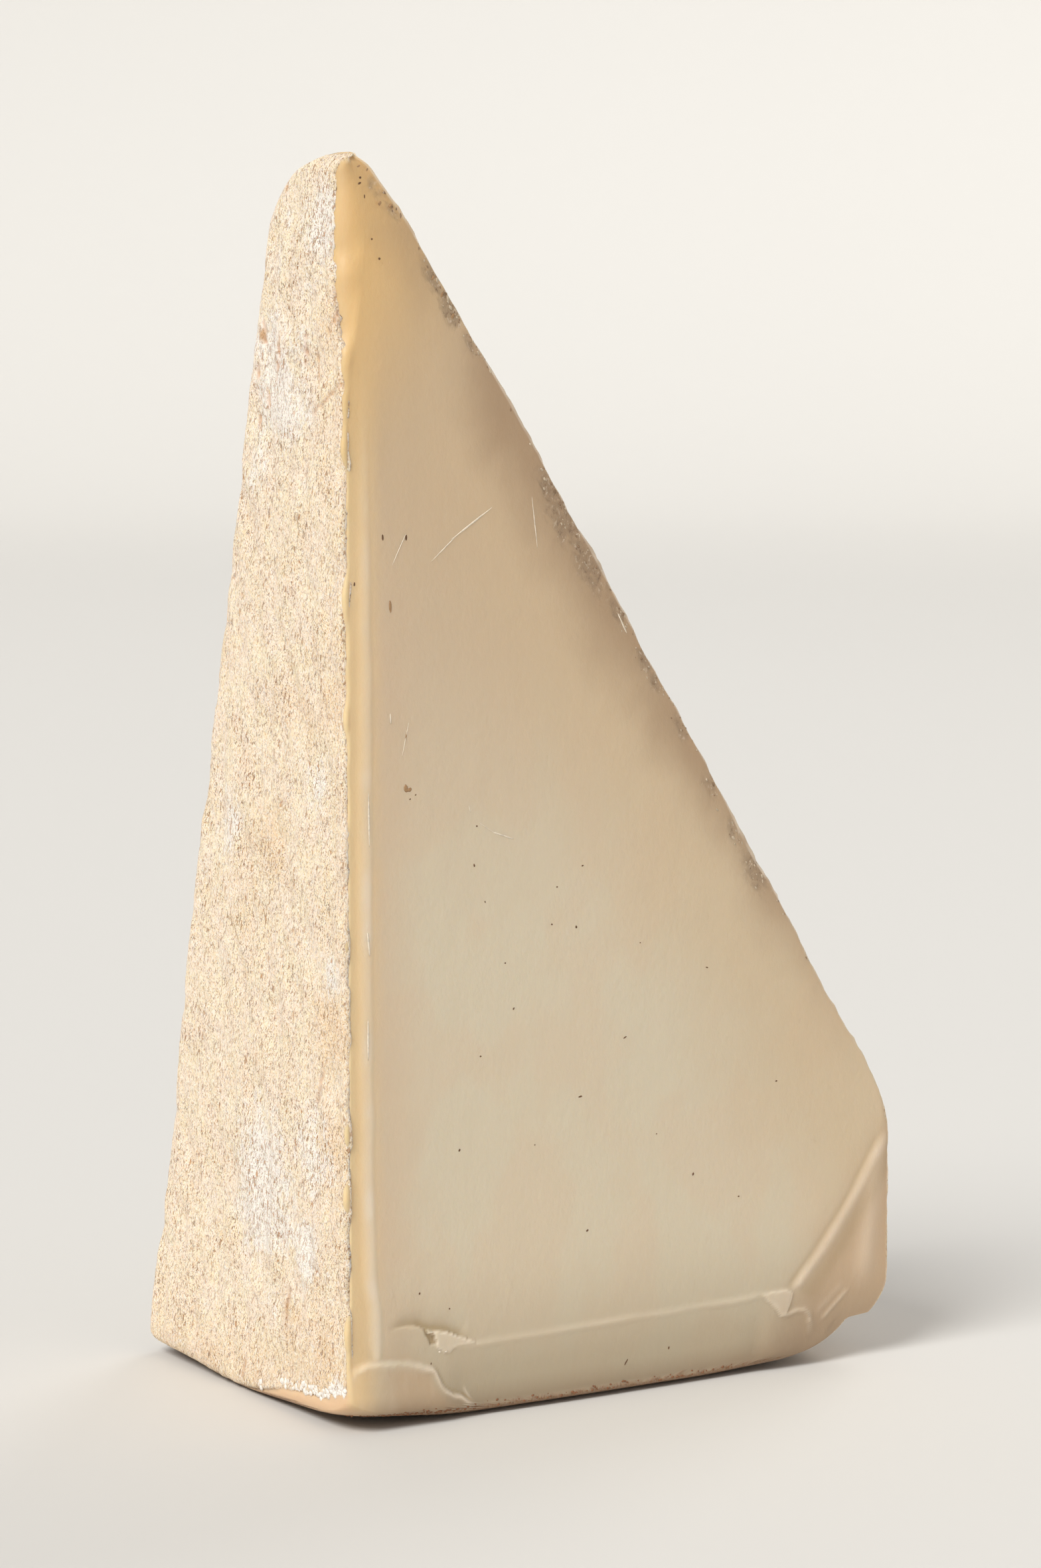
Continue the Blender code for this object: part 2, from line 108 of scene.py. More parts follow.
# Rounding at the tip, seen from the front and from the rind
TIP_RIND_RADIUS = 2.4
TIP_TRIM_RADIUS = 2.6
TIP_FACE_RADIUS = 1.6
TIP_BACK_RADIUS = 16.0
TIP_BACK_CENTRE_Y = 5.2
TIP_TOP_SIZE = 0.4
TIP_BACK_CUT, TIP_BACK_CUT_AT, TIP_BACK_CUT_HALF = 1.7, 0.75, 1.0
TIP_BACK_LEAN, TIP_BACK_LEAN_FROM = 0.5, 128.0
TIP_TRIM_LEAN, TIP_TRIM_LEAN_FROM = 1.2, 142.0
NOTCH_Y, NOTCH_HALF_Y = 0.5, 9.0
NOTCH_TOP, NOTCH_LEDGE = 4.75, 0.35

# Rounding at the heel, and the wheel's broad shoulder below the short rind, with the notch worn in it
RIND_FOOT_RADIUS = 1.6
FACE_FOOT_RADIUS = 1.5
BACK_FOOT_RADIUS = 2.0
SHOULDER_RUN = 21.0
SHOULDER_HEIGHT = 10.0
NOTCH_DEPTH, NOTCH_REACH = 3.4, 7.0
SHORT_RIND_TOP = 33.0

# Upright edges, as radii in plan; the near one opens out at the tip and at its worn foot
NEAR_EDGE_RADIUS = 0.9
NEAR_TIP_RADIUS, NEAR_TIP_FROM, NEAR_TIP_TO = 3.4, 125.0, 150.0
TIP_SLOPE_DEPTH, TIP_SLOPE_TO_X = 0.8, 9.0
NEAR_FOOT_RADIUS, NEAR_FOOT_HEIGHT = 17.0, 3.2
TRIM_EDGE_RADIUS = 1.0
FAR_EDGE_RADIUS = 2.0
RIND_BACK_RADIUS = 2.4
# Where the wedge is narrow, no radius is more than this share of its width
NARROW_SHARE = 0.42

# The pressed strip beside the rind: a shallow drop with a raised line along it
STRIP_DROP = 0.10
BAND_HEIGHT = 0.16
BAND_EDGE = (
    (7.8, 4.9), (10.3, 5.1), (15.1, 5.0), (17.6, 4.6), (22.0, 4.3), (30.0, 4.1), (60.0, 3.9),
    (110.0, 3.8), (146.0, 3.2),
)
BAND_WIDTH = ((7.8, 0.5), (10.3, 1.3), (17.6, 1.5), (80.0, 1.6), (110.0, 1.2), (146.0, 0.6))
BAND_TOP, BAND_FADE = 140.0, 50.0

# The band along the foot of the cut face, below a raised crease
CREASE_Z, CREASE_RISE = 8.3, 0.020
CREASE_HEIGHT = 0.2
CREASE_HALF_WIDTH = 0.45
CREASE_FROM, CREASE_TO = 17.0, 66.0
FOOT_DROP = 0.7

# The raised flap over the near foot, and how far right and up its relief reaches
FLAP_BOX = (24.0, 10.0)
FLAP_HEIGHT = 0.3
FLAP_RIM = 0.12
FLAP_LINE = (
    (0.2, 5.8), (1.1, 7.2), (2.8, 7.8), (4.7, 7.8), (7.4, 7.6), (9.4, 7.2), (10.8, 6.8), (12.6, 6.2),
    (13.3, 5.4), (13.8, 4.1), (14.6, 3.1), (15.8, 2.5), (17.7, 1.8), (18.6, 1.2), (19.4, -0.6),
)
FLAP_TEAR = ((17.4, 3.2), (18.0, 2.3), (18.9, 1.2), (19.8, -0.4))
CHIP_SHAPE = ((11.4, 11.2), (12.4, 10.9), (13.2, 10.5), (13.4, 9.0), (12.4, 9.1))

# The crack above the flap, with a chip and a pale flake below it, and the box that its relief fills
CRACK_BOX = ((4.0, 22.0), (5.5, 16.0))
CRACK_LINE = (
    (6.6, 11.7), (7.4, 12.0), (8.3, 12.05), (10.2, 11.9), (10.8, 11.7), (12.4, 11.0), (14.4, 10.7),
    (16.6, 9.8), (17.7, 9.2), (19.4, 8.6),
)
CRACK_DEPTH = 0.35
CRACK_LIP = 1.2
CHIP_DEPTH = 0.4
FLAKE_SHAPE = (
    (11.9, 10.8), (14.4, 10.6), (15.5, 10.2), (17.2, 9.5), (19.0, 8.7), (17.7, 8.5), (15.9, 8.3),
    (15.5, 7.8), (14.4, 7.8), (13.5, 8.4), (13.3, 9.3), (13.0, 10.2),
)
FLAKE_HEIGHT = 0.13

# The folded corner by the short rind, and how far left and up its relief reaches
FOLD_BOX = (58.0, 36.0)
FOLD_LINE = ((69.3, 9.7), (83.6, 28.0))
FOLD_HEIGHT, FOLD_HALF_WIDTH = 0.24, 0.85
FOLD_GROOVE, FOLD_DROP = 0.08, 0.2
FOLD_BOW = 0.7
FOLD_RUN_X, FOLD_RUN_Z = FOLD_LINE[1][0] - FOLD_LINE[0][0], FOLD_LINE[1][1] - FOLD_LINE[0][1]
FOLD_LENGTH = math.hypot(FOLD_RUN_X, FOLD_RUN_Z)
FOLD_FACING = (FOLD_RUN_Z / FOLD_LENGTH, -FOLD_RUN_X / FOLD_LENGTH)
FOLD_REACH = FOLD_FACING[0] * FOLD_LINE[0][0] + FOLD_FACING[1] * FOLD_LINE[0][1]
SMALL_FOLD_LINE = ((74.4, 5.0), (78.6, 8.4))
SMALL_FOLD_HEIGHT, SMALL_FOLD_HALF_WIDTH = 0.14, 0.28
CORNER_FLAKE_SHAPE = (
    (64.2, 9.4), (65.7, 9.7), (68.2, 9.7), (69.4, 9.0), (68.9, 7.6), (68.3, 6.0), (67.4, 5.9), (66.1, 7.5),
    (64.9, 8.5),
)
CORNER_FLAKE_HEIGHT = 0.2
CURL_LINE = ((67.4, 5.9), (68.8, 6.3), (70.0, 6.6), (71.2, 6.5), (71.9, 5.9), (72.2, 4.1), (71.9, 2.4))
CURL_HEIGHT, CURL_HALF_WIDTH = 0.22, 0.32

# Crags, waves and the crumbled edges
RIND_CRAG_DEPTH = 0.4
RIND_CRAG_WIDTH, RIND_CRAG_LENGTH, RIND_CRAG_OUT = 3.4, 6.5, 0.12
RIND_SWELL_DEPTH, RIND_SWELL_LENGTH = 0.35, 30.0
EDGE_CRUMBLE, EDGE_CRUMBLE_LENGTH = 0.35, 4.5
TRIM_WAVE, TRIM_WAVE_LENGTH = 0.6, 15.0
TRIM_CRUMB, TRIM_CRUMB_LENGTH = 0.4, 5.0
CUT_SWELL, CUT_SWELL_LENGTH = 0.35, 38.0
SMOOTH_TIP_FROM = 150.0
RELIEF_FOOT_FADE = 4.0
MOULD_DEPTH = 0.15
# The relief where there is none: offset, pale tone with painted highlight, painted shade and rosy tone
NO_RELIEF = (0.0, 0.0, 0.0, 0.0)

# The rind layer on the near side: where it ends and how it breaks off
RIND_PEEL_HEIGHT = 2.1
RIND_PEEL_FULL_Y, RIND_PEEL_TO_Y = 8.0, 30.0
RIND_PEEL_CLIMB, RIND_PEEL_CLIMB_Y = 2.3, 4.5
RIND_FOOT_GAP, RIND_FOOT_FADE, RIND_TOP_GAP = 0.25, 16.0, 0.25
RIND_RIM_WIDTH, RIND_RIM_DROP, RIND_LEAST_DEPTH = 0.3, 0.34, 0.15
PEEL_DEPTH = 0.05
# The paste ends this share of the rind's thickness below it
SKIN_SHARE = 0.4

# Pits, grain and cracks of the rind
PIT_WIDTH, PIT_LENGTH, PIT_LEAN, PIT_DEPTH = 1.3, 2.6, 0.2, 0.22
GRAIN_OUT = 0.06
RIND_CRACK_DEPTH, RIND_CRACK_HALF_WIDTH = 0.4, 0.34
RIND_MARKS = ("bloom", "ochre", "rust", "crack")

# Finish of the paste: the line round the heel, the painted highlight along the trimmed edge and the chalky
# tip
HEEL_LINE = 0.55
EDGE_HIGHLIGHT_HEIGHTS = (30.0, 70.0)
CHALK_HEIGHTS, CHALK_STRENGTH = (120.0, 140.0), 0.32

# Small marks and crumbs
PEBBLE_RINGS, PEBBLE_POINTS = 4, 10
SPECK_SHARE, SPECK_HEIGHT = 0.85, 0.04
SCRATCH_AND_GLINT_STEP, SCRATCH_AND_GLINT_OVERLAP = 1.2, 2.6
CRUMBS_SPREAD_TO, CRUMBS_TOP = 150.0, 155.0

# Depth of the fine grain in the finishes, in metres
PASTE_GRAIN_DEPTH, CRUMB_GRAIN, SPECK_GRAIN, SCRATCH_AND_GLINT_GRAIN = 0.00006, 0.0001, 0.00003, 0.00001

# Mesh spacing of the paste: zones of (from, to, count) along the cut face at the heel, and
# (from, to, step) up it
CUT_ZONES = ((0.0, 5.6, 28), (5.6, 20.0, 58), (20.0, 62.0, 42), (62.0, 83.6, 66))
ROW_ZONES = (
    (0.0, 14.0, 0.28), (14.0, 32.0, 0.46), (32.0, 147.0, 0.68), (147.0, 157.0, 0.45), (157.0, 159.8, 0.35),
)
TRIM_POINTS = 38
BACK_POINTS = 32
RIND_BACKING_POINTS = 18
ARC_POINTS = (8, 4, 4, 7)
STRIP_SHARE, TIP_CAP_SHARE = 0.45, 0.5

# Mesh spacing of the rind
RIND_ROWS = 525
RIND_COLUMNS = 168

# Mould along the trimmed edge: x, z, reach and strength of each patch
MOULD_PATCHES = (
    (5.0, 155.6, 1.2, 0.35), (7.6, 152.4, 1.2, 0.5), (13.2, 144.6, 1.5, 0.9), (15.8, 140.6, 1.6, 1.0),
    (18.8, 136.2, 1.3, 0.6), (30.2, 118.0, 1.6, 0.8), (32.8, 114.0, 2.6, 1.0), (36.6, 108.0, 2.6, 0.9),
    (41.0, 101.6, 1.5, 0.7), (45.4, 95.2, 1.6, 0.7), (46.8, 92.6, 1.3, 0.8), (50.6, 86.4, 1.4, 0.6),
    (55.4, 78.6, 1.5, 0.5), (59.4, 72.0, 1.7, 0.6), (62.6, 66.8, 2.2, 0.9),
)

# Chalky, tan and rusty spots of the rind: y, z, reach and strength of each; and its cracks as (y, z) points
BLOOM_SPOTS = (
    (4.0, 152.0, 6.0, 0.9), (16.0, 131.0, 8.0, 1.0), (21.0, 121.0, 5.0, 0.5), (21.0, 27.0, 9.0, 1.0),
    (9.0, 34.0, 6.0, 0.7), (10.0, 20.5, 4.0, 1.0), (30.0, 74.0, 5.0, 0.6), (7.0, 82.0, 4.0, 0.6),
    (3.2, 57.0, 2.6, 0.8), (13.0, 144.0, 6.0, 0.5), (2.6, 4.2, 1.8, 1.0),
)
OCHRE_SPOTS = (
    (3.0, 92.0, 4.0, 0.7), (11.0, 90.0, 4.0, 0.6), (4.0, 50.0, 4.5, 1.0), (18.5, 74.0, 4.5, 0.8),
    (4.0, 35.0, 4.0, 0.7), (12.0, 9.0, 4.5, 0.6), (28.0, 97.0, 4.0, 0.4), (3.0, 138.0, 3.0, 0.6),
    (6.0, 7.0, 4.0, 1.0), (26.0, 66.0, 6.0, 0.3), (7.0, 18.0, 2.5, 0.6),
)
RUST_SPOTS = ((19.9, 137.6, 1.0, 0.9), (14.8, 12.5, 1.6, 0.7))
RIND_CRACKS = (
    ((15.4, 137.2), (15.6, 134.1), (16.5, 132.0)), ((19.1, 130.7), (18.8, 128.6)),
    ((-0.3, 131.8), (3.4, 130.1), (5.1, 128.8), (7.6, 127.8)),
    ((1.9, 142.8), (1.3, 140.3), (3.0, 137.9)), ((19.5, 139.2), (19.3, 137.8), (19.5, 136.6)),
    ((8.6, 137.5), (9.4, 134.0)), ((6.2, 135.2), (6.0, 131.4)),
    ((14.2, 15.0), (15.3, 12.6), (15.5, 10.2)), ((26.7, 3.6), (27.8, 1.6)), ((5.5, 45.5), (6.8, 40.7)),
    ((21.2, 133.6), (21.3, 132.0)), ((21.7, 127.2), (21.8, 125.8)),
)

# Marks of the cut face: x, z, length, width and lean in degrees of each speck, and the ends and width
# of each scratch and each glint; the glints are painted highlights
SPECKS = (
    (5.8, 112.4, 0.95, 0.32, 95.0), (9.2, 112.3, 0.85, 0.36, 88.0), (1.7, 106.7, 0.6, 0.3, 80.0),
    (10.4, 79.9, 0.3, 0.2, 45.0), (9.6, 79.4, 0.3, 0.2, 45.0), (19.4, 75.4, 0.32, 0.26, 0.0),
    (19.0, 70.4, 0.5, 0.26, 100.0), (35.3, 69.3, 0.4, 0.22, 20.0), (31.4, 66.8, 0.28, 0.24, 0.0),
    (20.6, 65.6, 0.36, 0.2, 110.0), (30.6, 62.0, 0.3, 0.26, 0.0), (34.3, 61.4, 0.46, 0.34, 110.0),
    (23.6, 57.5, 0.3, 0.24, 0.0), (24.9, 51.5, 0.42, 0.26, 60.0), (41.9, 46.3, 0.7, 0.22, 25.0),
    (20.0, 45.7, 0.34, 0.26, 0.0), (54.8, 54.5, 0.5, 0.2, -15.0), (35.1, 39.1, 0.75, 0.28, 10.0),
    (66.4, 38.2, 0.42, 0.26, 0.0), (16.9, 33.8, 0.5, 0.34, 60.0), (52.9, 27.0, 0.55, 0.3, 70.0),
    (60.3, 23.2, 0.34, 0.24, 0.0), (36.2, 21.3, 0.5, 0.3, 30.0), (10.9, 15.9, 0.4, 0.3, 70.0),
    (15.3, 13.4, 0.3, 0.24, 0.0), (49.3, 4.0, 0.5, 0.3, 80.0), (42.6, 3.1, 1.3, 0.22, 55.0),
    (12.5, 6.6, 0.4, 0.2, 80.0), (2.6, 156.8, 0.42, 0.34, 0.0), (2.5, 156.1, 0.55, 0.34, 30.0),
    (3.2, 154.5, 0.6, 0.22, 90.0), (4.2, 149.3, 0.34, 0.3, 0.0), (5.3, 146.9, 0.42, 0.36, 0.0),
    (44.2, 58.6, 0.22, 0.2, 0.0), (47.0, 33.0, 0.24, 0.2, 0.0), (28.2, 33.4, 0.24, 0.18, 0.0),
)
BROWN_SPECKS = (
    (6.8, 103.7, 2.0, 0.46, 93.0), (9.0, 87.3, 1.6, 0.22, 80.0), (9.0, 80.8, 1.3, 0.7, 98.0),
    (9.5, 80.6, 0.8, 0.6, 20.0), (5.4, 153.7, 0.7, 0.5, 60.0), (7.0, 153.4, 0.7, 0.42, 40.0),
    (2.4, 158.2, 0.6, 0.3, 20.0), (3.6, 157.8, 0.5, 0.34, 60.0), (13.2, 144.6, 0.9, 0.5, 60.0),
    (14.5, 142.5, 1.0, 0.5, 60.0), (16.1, 139.8, 1.0, 0.5, 60.0),
)
SCRATCHES_AND_GLINTS = (
    ((13.4, 109.7), (16.7, 112.5), 0.16), ((16.4, 112.3), (21.3, 115.5), 0.26),
    ((7.4, 109.4), (8.7, 111.9), 0.14), ((20.4, 75.4), (22.1, 74.3), 0.12),
    ((22.6, 74.2), (24.3, 73.6), 0.24), ((18.2, 78.1), (18.5, 77.2), 0.12),
    ((6.7, 90.4), (6.8, 89.0), 0.22), ((9.3, 88.6), (8.6, 85.6), 0.14), ((3.5, 80.0), (3.6, 74.6), 0.3),
    ((3.4, 62.4), (3.6, 60.6), 0.34), ((3.4, 51.0), (3.4, 47.6), 0.34),
    ((13.6, 8.0), (14.0, 7.9), 0.34), ((14.5, 7.9), (14.9, 7.9), 0.26),
    ((41.0, 101.6), (42.0, 99.6), 0.3), ((27.8, 116.0), (28.4, 111.4), 0.16),
)

# The camera's place, in millimetres from the upright edge, and the studio's floor in metres
CAMERA_PLACE = (-267.3, -469.3, 139.0)
CAMERA_SHIFT = -0.0021
FLOOR_REACH, FLOOR_CURVE, WALL_HEIGHT = 2.4, 0.9, 1.7
FLOOR_POINTS = 120


def linear(red, green, blue):
    """A colour given in 0 to 255 steps as the eye reads them, as linear values."""
    def channel(value):
        v = value / 255.0
        return v / 12.92 if v <= 0.04045 else ((v + 0.055) / 1.055) ** 2.4
    return (channel(red), channel(green), channel(blue))


def colour_property(name, description, colour):
    return FloatVectorProperty(name=name, description=description, default=colour, subtype="COLOR", size=3,
                               min=0.0, max=1.0)


def factor_property(name, description, default):
    return FloatProperty(name=name, description=description, default=default, subtype="FACTOR", min=0.0,
                         max=1.0)


def length_property(name, description, metres):
    return FloatProperty(name=name, description=description, default=metres, unit="LENGTH", precision=5,
                         min=0.0)


def strength_property(name, description, default):
    return FloatProperty(name=name, description=description, default=default, min=0.0)


def angle_property(name, description, degrees):
    return FloatProperty(name=name, description=description, default=math.radians(degrees), subtype="ANGLE")


def count_property(name, description, default):
    return IntProperty(name=name, description=description, default=default, min=0)


class CheesePasteLook(PropertyGroup):
    """Colours of the cut cheese, some of them painted shade and painted highlight, and how waxy it is."""
    middle: colour_property("Middle", "Pale beige of the open cut face", linear(224, 211, 186))
    pink: colour_property("Pink", "Pinker beige patches of the cut face", linear(225, 206, 179))
    upper: colour_property("Upper", "Warmer beige towards the tip", linear(214, 190, 160))
    # Painted shade: this tan beige is mixed in more towards the trimmed edge
    trim_shade: colour_property("Warm", "Tan beige towards the trimmed edge", linear(218, 192, 156))
    strip: colour_property("Strip", "Yellow tan beside the rind", linear(237, 207, 161))
    tip: colour_property("Tip", "Deep yellow of the tip", linear(227, 189, 132))
    # Pressed: pale tone of the press marks, also painted over raised bands, rims, creases, folds and flake
    # edges as painted highlight
    pale_and_highlight: colour_property("Pressed", "Pale pinkish raised press marks", linear(244, 228, 207))
    rosy: colour_property("Rosy", "Pinkish tan beside the press marks", linear(222, 195, 164))
    folded: colour_property("Folded", "Pinkish tan of the fold and the flap", linear(205, 176, 144))
    # Shade: olive brown, the colour of the painted shade that the shade mark lays in creases, grooves, the
    # crack and the chip
    shade: colour_property("Shade", "Olive brown in creases", linear(172, 144, 96))
    # Painted shade: brown grey along the trimmed edge and the far edge
    shaded: colour_property("Dried", "Brown grey of the dried trimmed edge", linear(182, 154, 124))
    # Grey-brown of the mould, also mixed in as painted shade along the very bottom and at the folded
    # corner's foot
    mould: colour_property("Mould", "Grey-brown mould at the trimmed edge", linear(160, 136, 111))
    fleck: colour_property("Fleck", "Dark flecks of the mould", linear(126, 98, 74))
    # Painted shade: the foot colour is mixed in more towards the bottom, where the rounded foot turns down
    foot: colour_property("Foot", "Grey olive of the band along the foot", linear(176, 160, 133))
    crust: colour_property("Crust", "Brown of the thin line at the heel", linear(126, 84, 54))
    roughness: factor_property("Roughness", "Sheen of the cut face", 0.42)
    scatter: length_property("Scatter", "How far light spreads under the surface", 0.0016)


class CheeseRindLook(PropertyGroup):
    """Colours and depth of the dry rind."""
    cream: colour_property("Cream", "Main colour of the rind", linear(255, 236, 205))
    blush: colour_property("Blush", "Pinker patches of the rind", linear(255, 234, 210))
    bloom: colour_property("Bloom", "Chalky white bloom", linear(255, 248, 239))
    ochre: colour_property("Ochre", "Tan patches", linear(240, 206, 162))
    pit: colour_property("Pit", "Brown of small pits and cracks", linear(146, 92, 54))
    warm_pit: colour_property("Warm Pit", "Orange brown of shallow pits", linear(202, 144, 92))
    rust: colour_property("Rust", "Orange-brown spots", linear(206, 154, 84))
    peel: colour_property("Peel", "Smooth tan skin under the peeled rind", linear(228, 192, 154))
    grain_depth: length_property("Grain Depth", "Depth of the finest grain", 0.00012)
    thickness: length_property("Thickness", "Thickness of the rind layer", 0.0009)


class CheeseCrumbLook(PropertyGroup):
    """Crumbs, mould and specks."""
    crumb: colour_property("Crumb", "Pale dry crumbs", linear(214, 196, 170))
    mould: colour_property("Mould", "Grey-brown mould crumbs", linear(160, 132, 104))
    grain: colour_property("Grain", "Reddish-brown grains at the heel", linear(150, 104, 72))
    speck: colour_property("Speck", "Dark specks on the cut face", linear(112, 80, 52))
    brown: colour_property("Brown", "Soft brown marks on the cut face", linear(180, 142, 102))
    # Painted highlight: the glints are pale marks that stand for light caught on the cut face
    scratch_and_glint: colour_property("Scratch", "Pale scratches and glints", linear(242, 229, 208))
    crumb_count: count_property("Crumbs", "Crumbs along the trimmed edge", 260)
    foot_count: count_property("Foot Crumbs", "Crumbs at the foot and the heel", 170)
    seed: count_property("Seed", "Seed of the scatter", 7)


class CheeseStudio(PropertyGroup):
    """Floor, lights and camera."""
    floor: colour_property("Floor", "Plain pale floor", linear(218, 216, 212))
    sky: strength_property("Sky", "Strength of the even light all round", 0.432)
    key: strength_property("Key", "Strength of the soft light on the rind side", 2.5)
    fill: strength_property("Fill", "Strength of the soft light on the cut face", 0.2)
    rim: strength_property("Rim", "Strength of the light behind the trimmed face", 0.6)
    azimuth: angle_property("Azimuth", "How far the camera stands round from the cut face", -32.0)
    pitch: angle_property("Pitch", "How far the camera looks down", 6.0)
    lens: FloatProperty(name="Lens", description="Focal length", default=100.0, min=10.0, unit="CAMERA")


def smooth_step(low, high, value):
    t = min(max((value - low) / (high - low), 0.0), 1.0)
    return t * t * (3.0 - 2.0 * t)


def smooth_min(a, b, blend):
    """The smaller of two lengths, with the corner between them rounded over the blend."""
    overlap = max(blend - abs(a - b), 0.0) / blend
    return min(a, b) - overlap * overlap * blend / 4.0


def share_left(distance, reach):
    """1 at the foot and 0 from reach inward, in a straight slope."""
    return min(max(1.0 - distance / reach, 0.0), 1.0)


def bell(distance, half_width):
    ratio = distance / half_width
    return math.exp(-ratio * ratio) if abs(ratio) < 3.5 else 0.0


def rounding(depth, radius):
    """How far a rounded rim stands back at a depth below its outer end."""
    if depth >= radius:
        return 0.0
    return radius - math.sqrt(max(radius * radius - (radius - depth) ** 2, 0.0))


def wander(scale, u, v, seed):
    """Smooth noise between about -1 and 1; each use has a seed of its own, so that no two patterns match."""
    return 1.6 * noise.noise(Vector((u / scale, v / scale, seed)))


def segment_distance(x, z, a, b):
    """Signed distance from the line through a and b, positive below and right, and the fraction along it."""
    dx, dz = b[0] - a[0], b[1] - a[1]
    length = math.hypot(dx, dz)
    along = ((x - a[0]) * dx + (z - a[1]) * dz) / (length * length)
    across = ((x - a[0]) * dz - (z - a[1]) * dx) / length
    return across, along


def nearest_on(x, z, a, b):
    """Gap to the nearest point between a and b, its fraction of the way, and which side the place is on."""
    across, along = segment_distance(x, z, a, b)
    t = min(max(along, 0.0), 1.0)
    gap = math.hypot(x - a[0] - t * (b[0] - a[0]), z - a[1] - t * (b[1] - a[1]))
    return gap, t, math.copysign(1.0, across)


def path_distance(x, z, points):
    """Nearest distance to an open path, its sign (positive to the right of its run) and the way along."""
    best, sign, way = 1e9, 1.0, 0.0
    for i, (a, b) in enumerate(zip(points, points[1:])):
        gap, t, side = nearest_on(x, z, a, b)
        if gap < best:
            best, sign, way = gap, side, (i + t) / (len(points) - 1)
    return best, sign, way


def outline_depth(x, z, corners):
    """How deep a point lies inside a closed outline; negative outside."""
    inside, best = False, 1e9
    for a, b in zip(corners, corners[1:] + corners[:1]):
        if (a[1] > z) != (b[1] > z) and x < a[0] + (z - a[1]) * (b[0] - a[0]) / (b[1] - a[1]):
            inside = not inside
        best = min(best, nearest_on(x, z, a, b)[0])
    return best if inside else -best


def along_steps(place, steps):
    """Value at a place, from straight steps between (place, value) pairs."""
    if place <= steps[0][0]:
        return steps[0][1]
    for (a, low), (b, high) in zip(steps, steps[1:]):
        if place <= b:
            return low + (place - a) / (b - a) * (high - low)
    return steps[-1][1]


# Outline of the wedge

def rind_side(z):
    return rounding(z, RIND_FOOT_RADIUS) + rounding(HEIGHT - z, TIP_RIND_RADIUS)


def far_side(z):
    """The short rind, the trimmed face above it and the wheel's shoulder below it."""
    half = (HEIGHT - TRIM_FOOT_Z) / 2.0
    bow = TRIM_BOW * (1.0 - ((z - TRIM_FOOT_Z - half) / half) ** 2)
    lean = TIP_TRIM_LEAN * smooth_step(TIP_TRIM_LEAN_FROM, HEIGHT, z)
    trimmed = TRIM_FOOT_X - TRIM_SLOPE * (z - TRIM_FOOT_Z) + max(bow, -1.0) - lean
    trimmed -= sum(depth * bell(z - middle, half_length) for middle, depth, half_length in TRIM_HOLLOWS)
    shoulder = rounding(z, SHOULDER_HEIGHT) * SHOULDER_RUN / SHOULDER_HEIGHT
    side = smooth_min(WHEEL_DEPTH, trimmed, TRIM_CORNER) - shoulder - rounding(HEIGHT - z, TIP_TRIM_RADIUS)
    return max(side, TIP_RIND_RADIUS + TIP_TOP_SIZE)


def front_side(z):
    return rounding(z, FACE_FOOT_RADIUS) + rounding(HEIGHT - z, TIP_FACE_RADIUS)


def back_side(z):
    bow = BACK_BOW * (1.0 - (2.0 * z / HEIGHT - 1.0) ** 2)
    lean = TIP_BACK_LEAN * smooth_step(TIP_BACK_LEAN_FROM, HEIGHT - TIP_BACK_RADIUS, z)
    side = HEEL_WIDTH - TAPER * z + bow - lean - rounding(z, BACK_FOOT_RADIUS)
    above = z - (HEIGHT - TIP_BACK_RADIUS)
    if above > 0.0:
        arc = math.sqrt(max(TIP_BACK_RADIUS ** 2 - above ** 2, 0.0))
        cut = TIP_BACK_CUT * bell(HEIGHT - z - TIP_BACK_CUT_AT, TIP_BACK_CUT_HALF)
        side = min(side, TIP_BACK_CENTRE_Y + arc - cut)
    return side


def heel_sag(x, y):
    """How far the underside hangs below the foot of the upright edge."""
    half = RIND_SAG_NEAR_HALF if y < RIND_SAG_Y else RIND_SAG_FAR_HALF
    at_rind = RIND_SAG * bell(y - RIND_SAG_Y, half)
    less = CUT_SAG_LESS * smooth_step(CUT_SAG_LESS_FROM, CUT_SAG_LESS_TO, x)
    at_cut = CUT_SAG * smooth_step(CUT_SAG_FROM, CUT_SAG_FULL, x) * (1.0 - less)
    lack = math.hypot((SAG - at_rind) * share_left(x, SAG_IN_FROM_RIND),
                      (SAG - at_cut) * share_left(y, SAG_IN_FROM_CUT),
                      SAG * share_left(HEEL_WIDTH - y, SAG_IN_FROM_BACK))
    return SAG - lack


def near_edge_radius(z):
    tip = smooth_step(NEAR_TIP_FROM, NEAR_TIP_TO, z) * (NEAR_TIP_RADIUS - NEAR_EDGE_RADIUS)
    foot = rounding(z, NEAR_FOOT_HEIGHT) / NEAR_FOOT_HEIGHT * (NEAR_FOOT_RADIUS - NEAR_EDGE_RADIUS)
    return NEAR_EDGE_RADIUS + tip + foot


def edge_radii(z):
    """Radii in plan of the near, trimmed, far and rear upright edges, smaller where the wedge is narrow."""
    largest = NARROW_SHARE * min(far_side(z) - rind_side(z), back_side(z) - front_side(z))
    return [min(radius, largest) for radius in
            (near_edge_radius(z), TRIM_EDGE_RADIUS, FAR_EDGE_RADIUS, RIND_BACK_RADIUS)]


def flap_depth(x, z):
    """How deep a point lies inside the flap, negative outside, and the way along its rim."""
    gap, sign, way = path_distance(x, z, FLAP_LINE)
    ragged = 0.10 * wander(1.1, x, z, 35.0) + 0.05 * wander(0.5, x, z, 36.0)
    return gap * sign + ragged, way


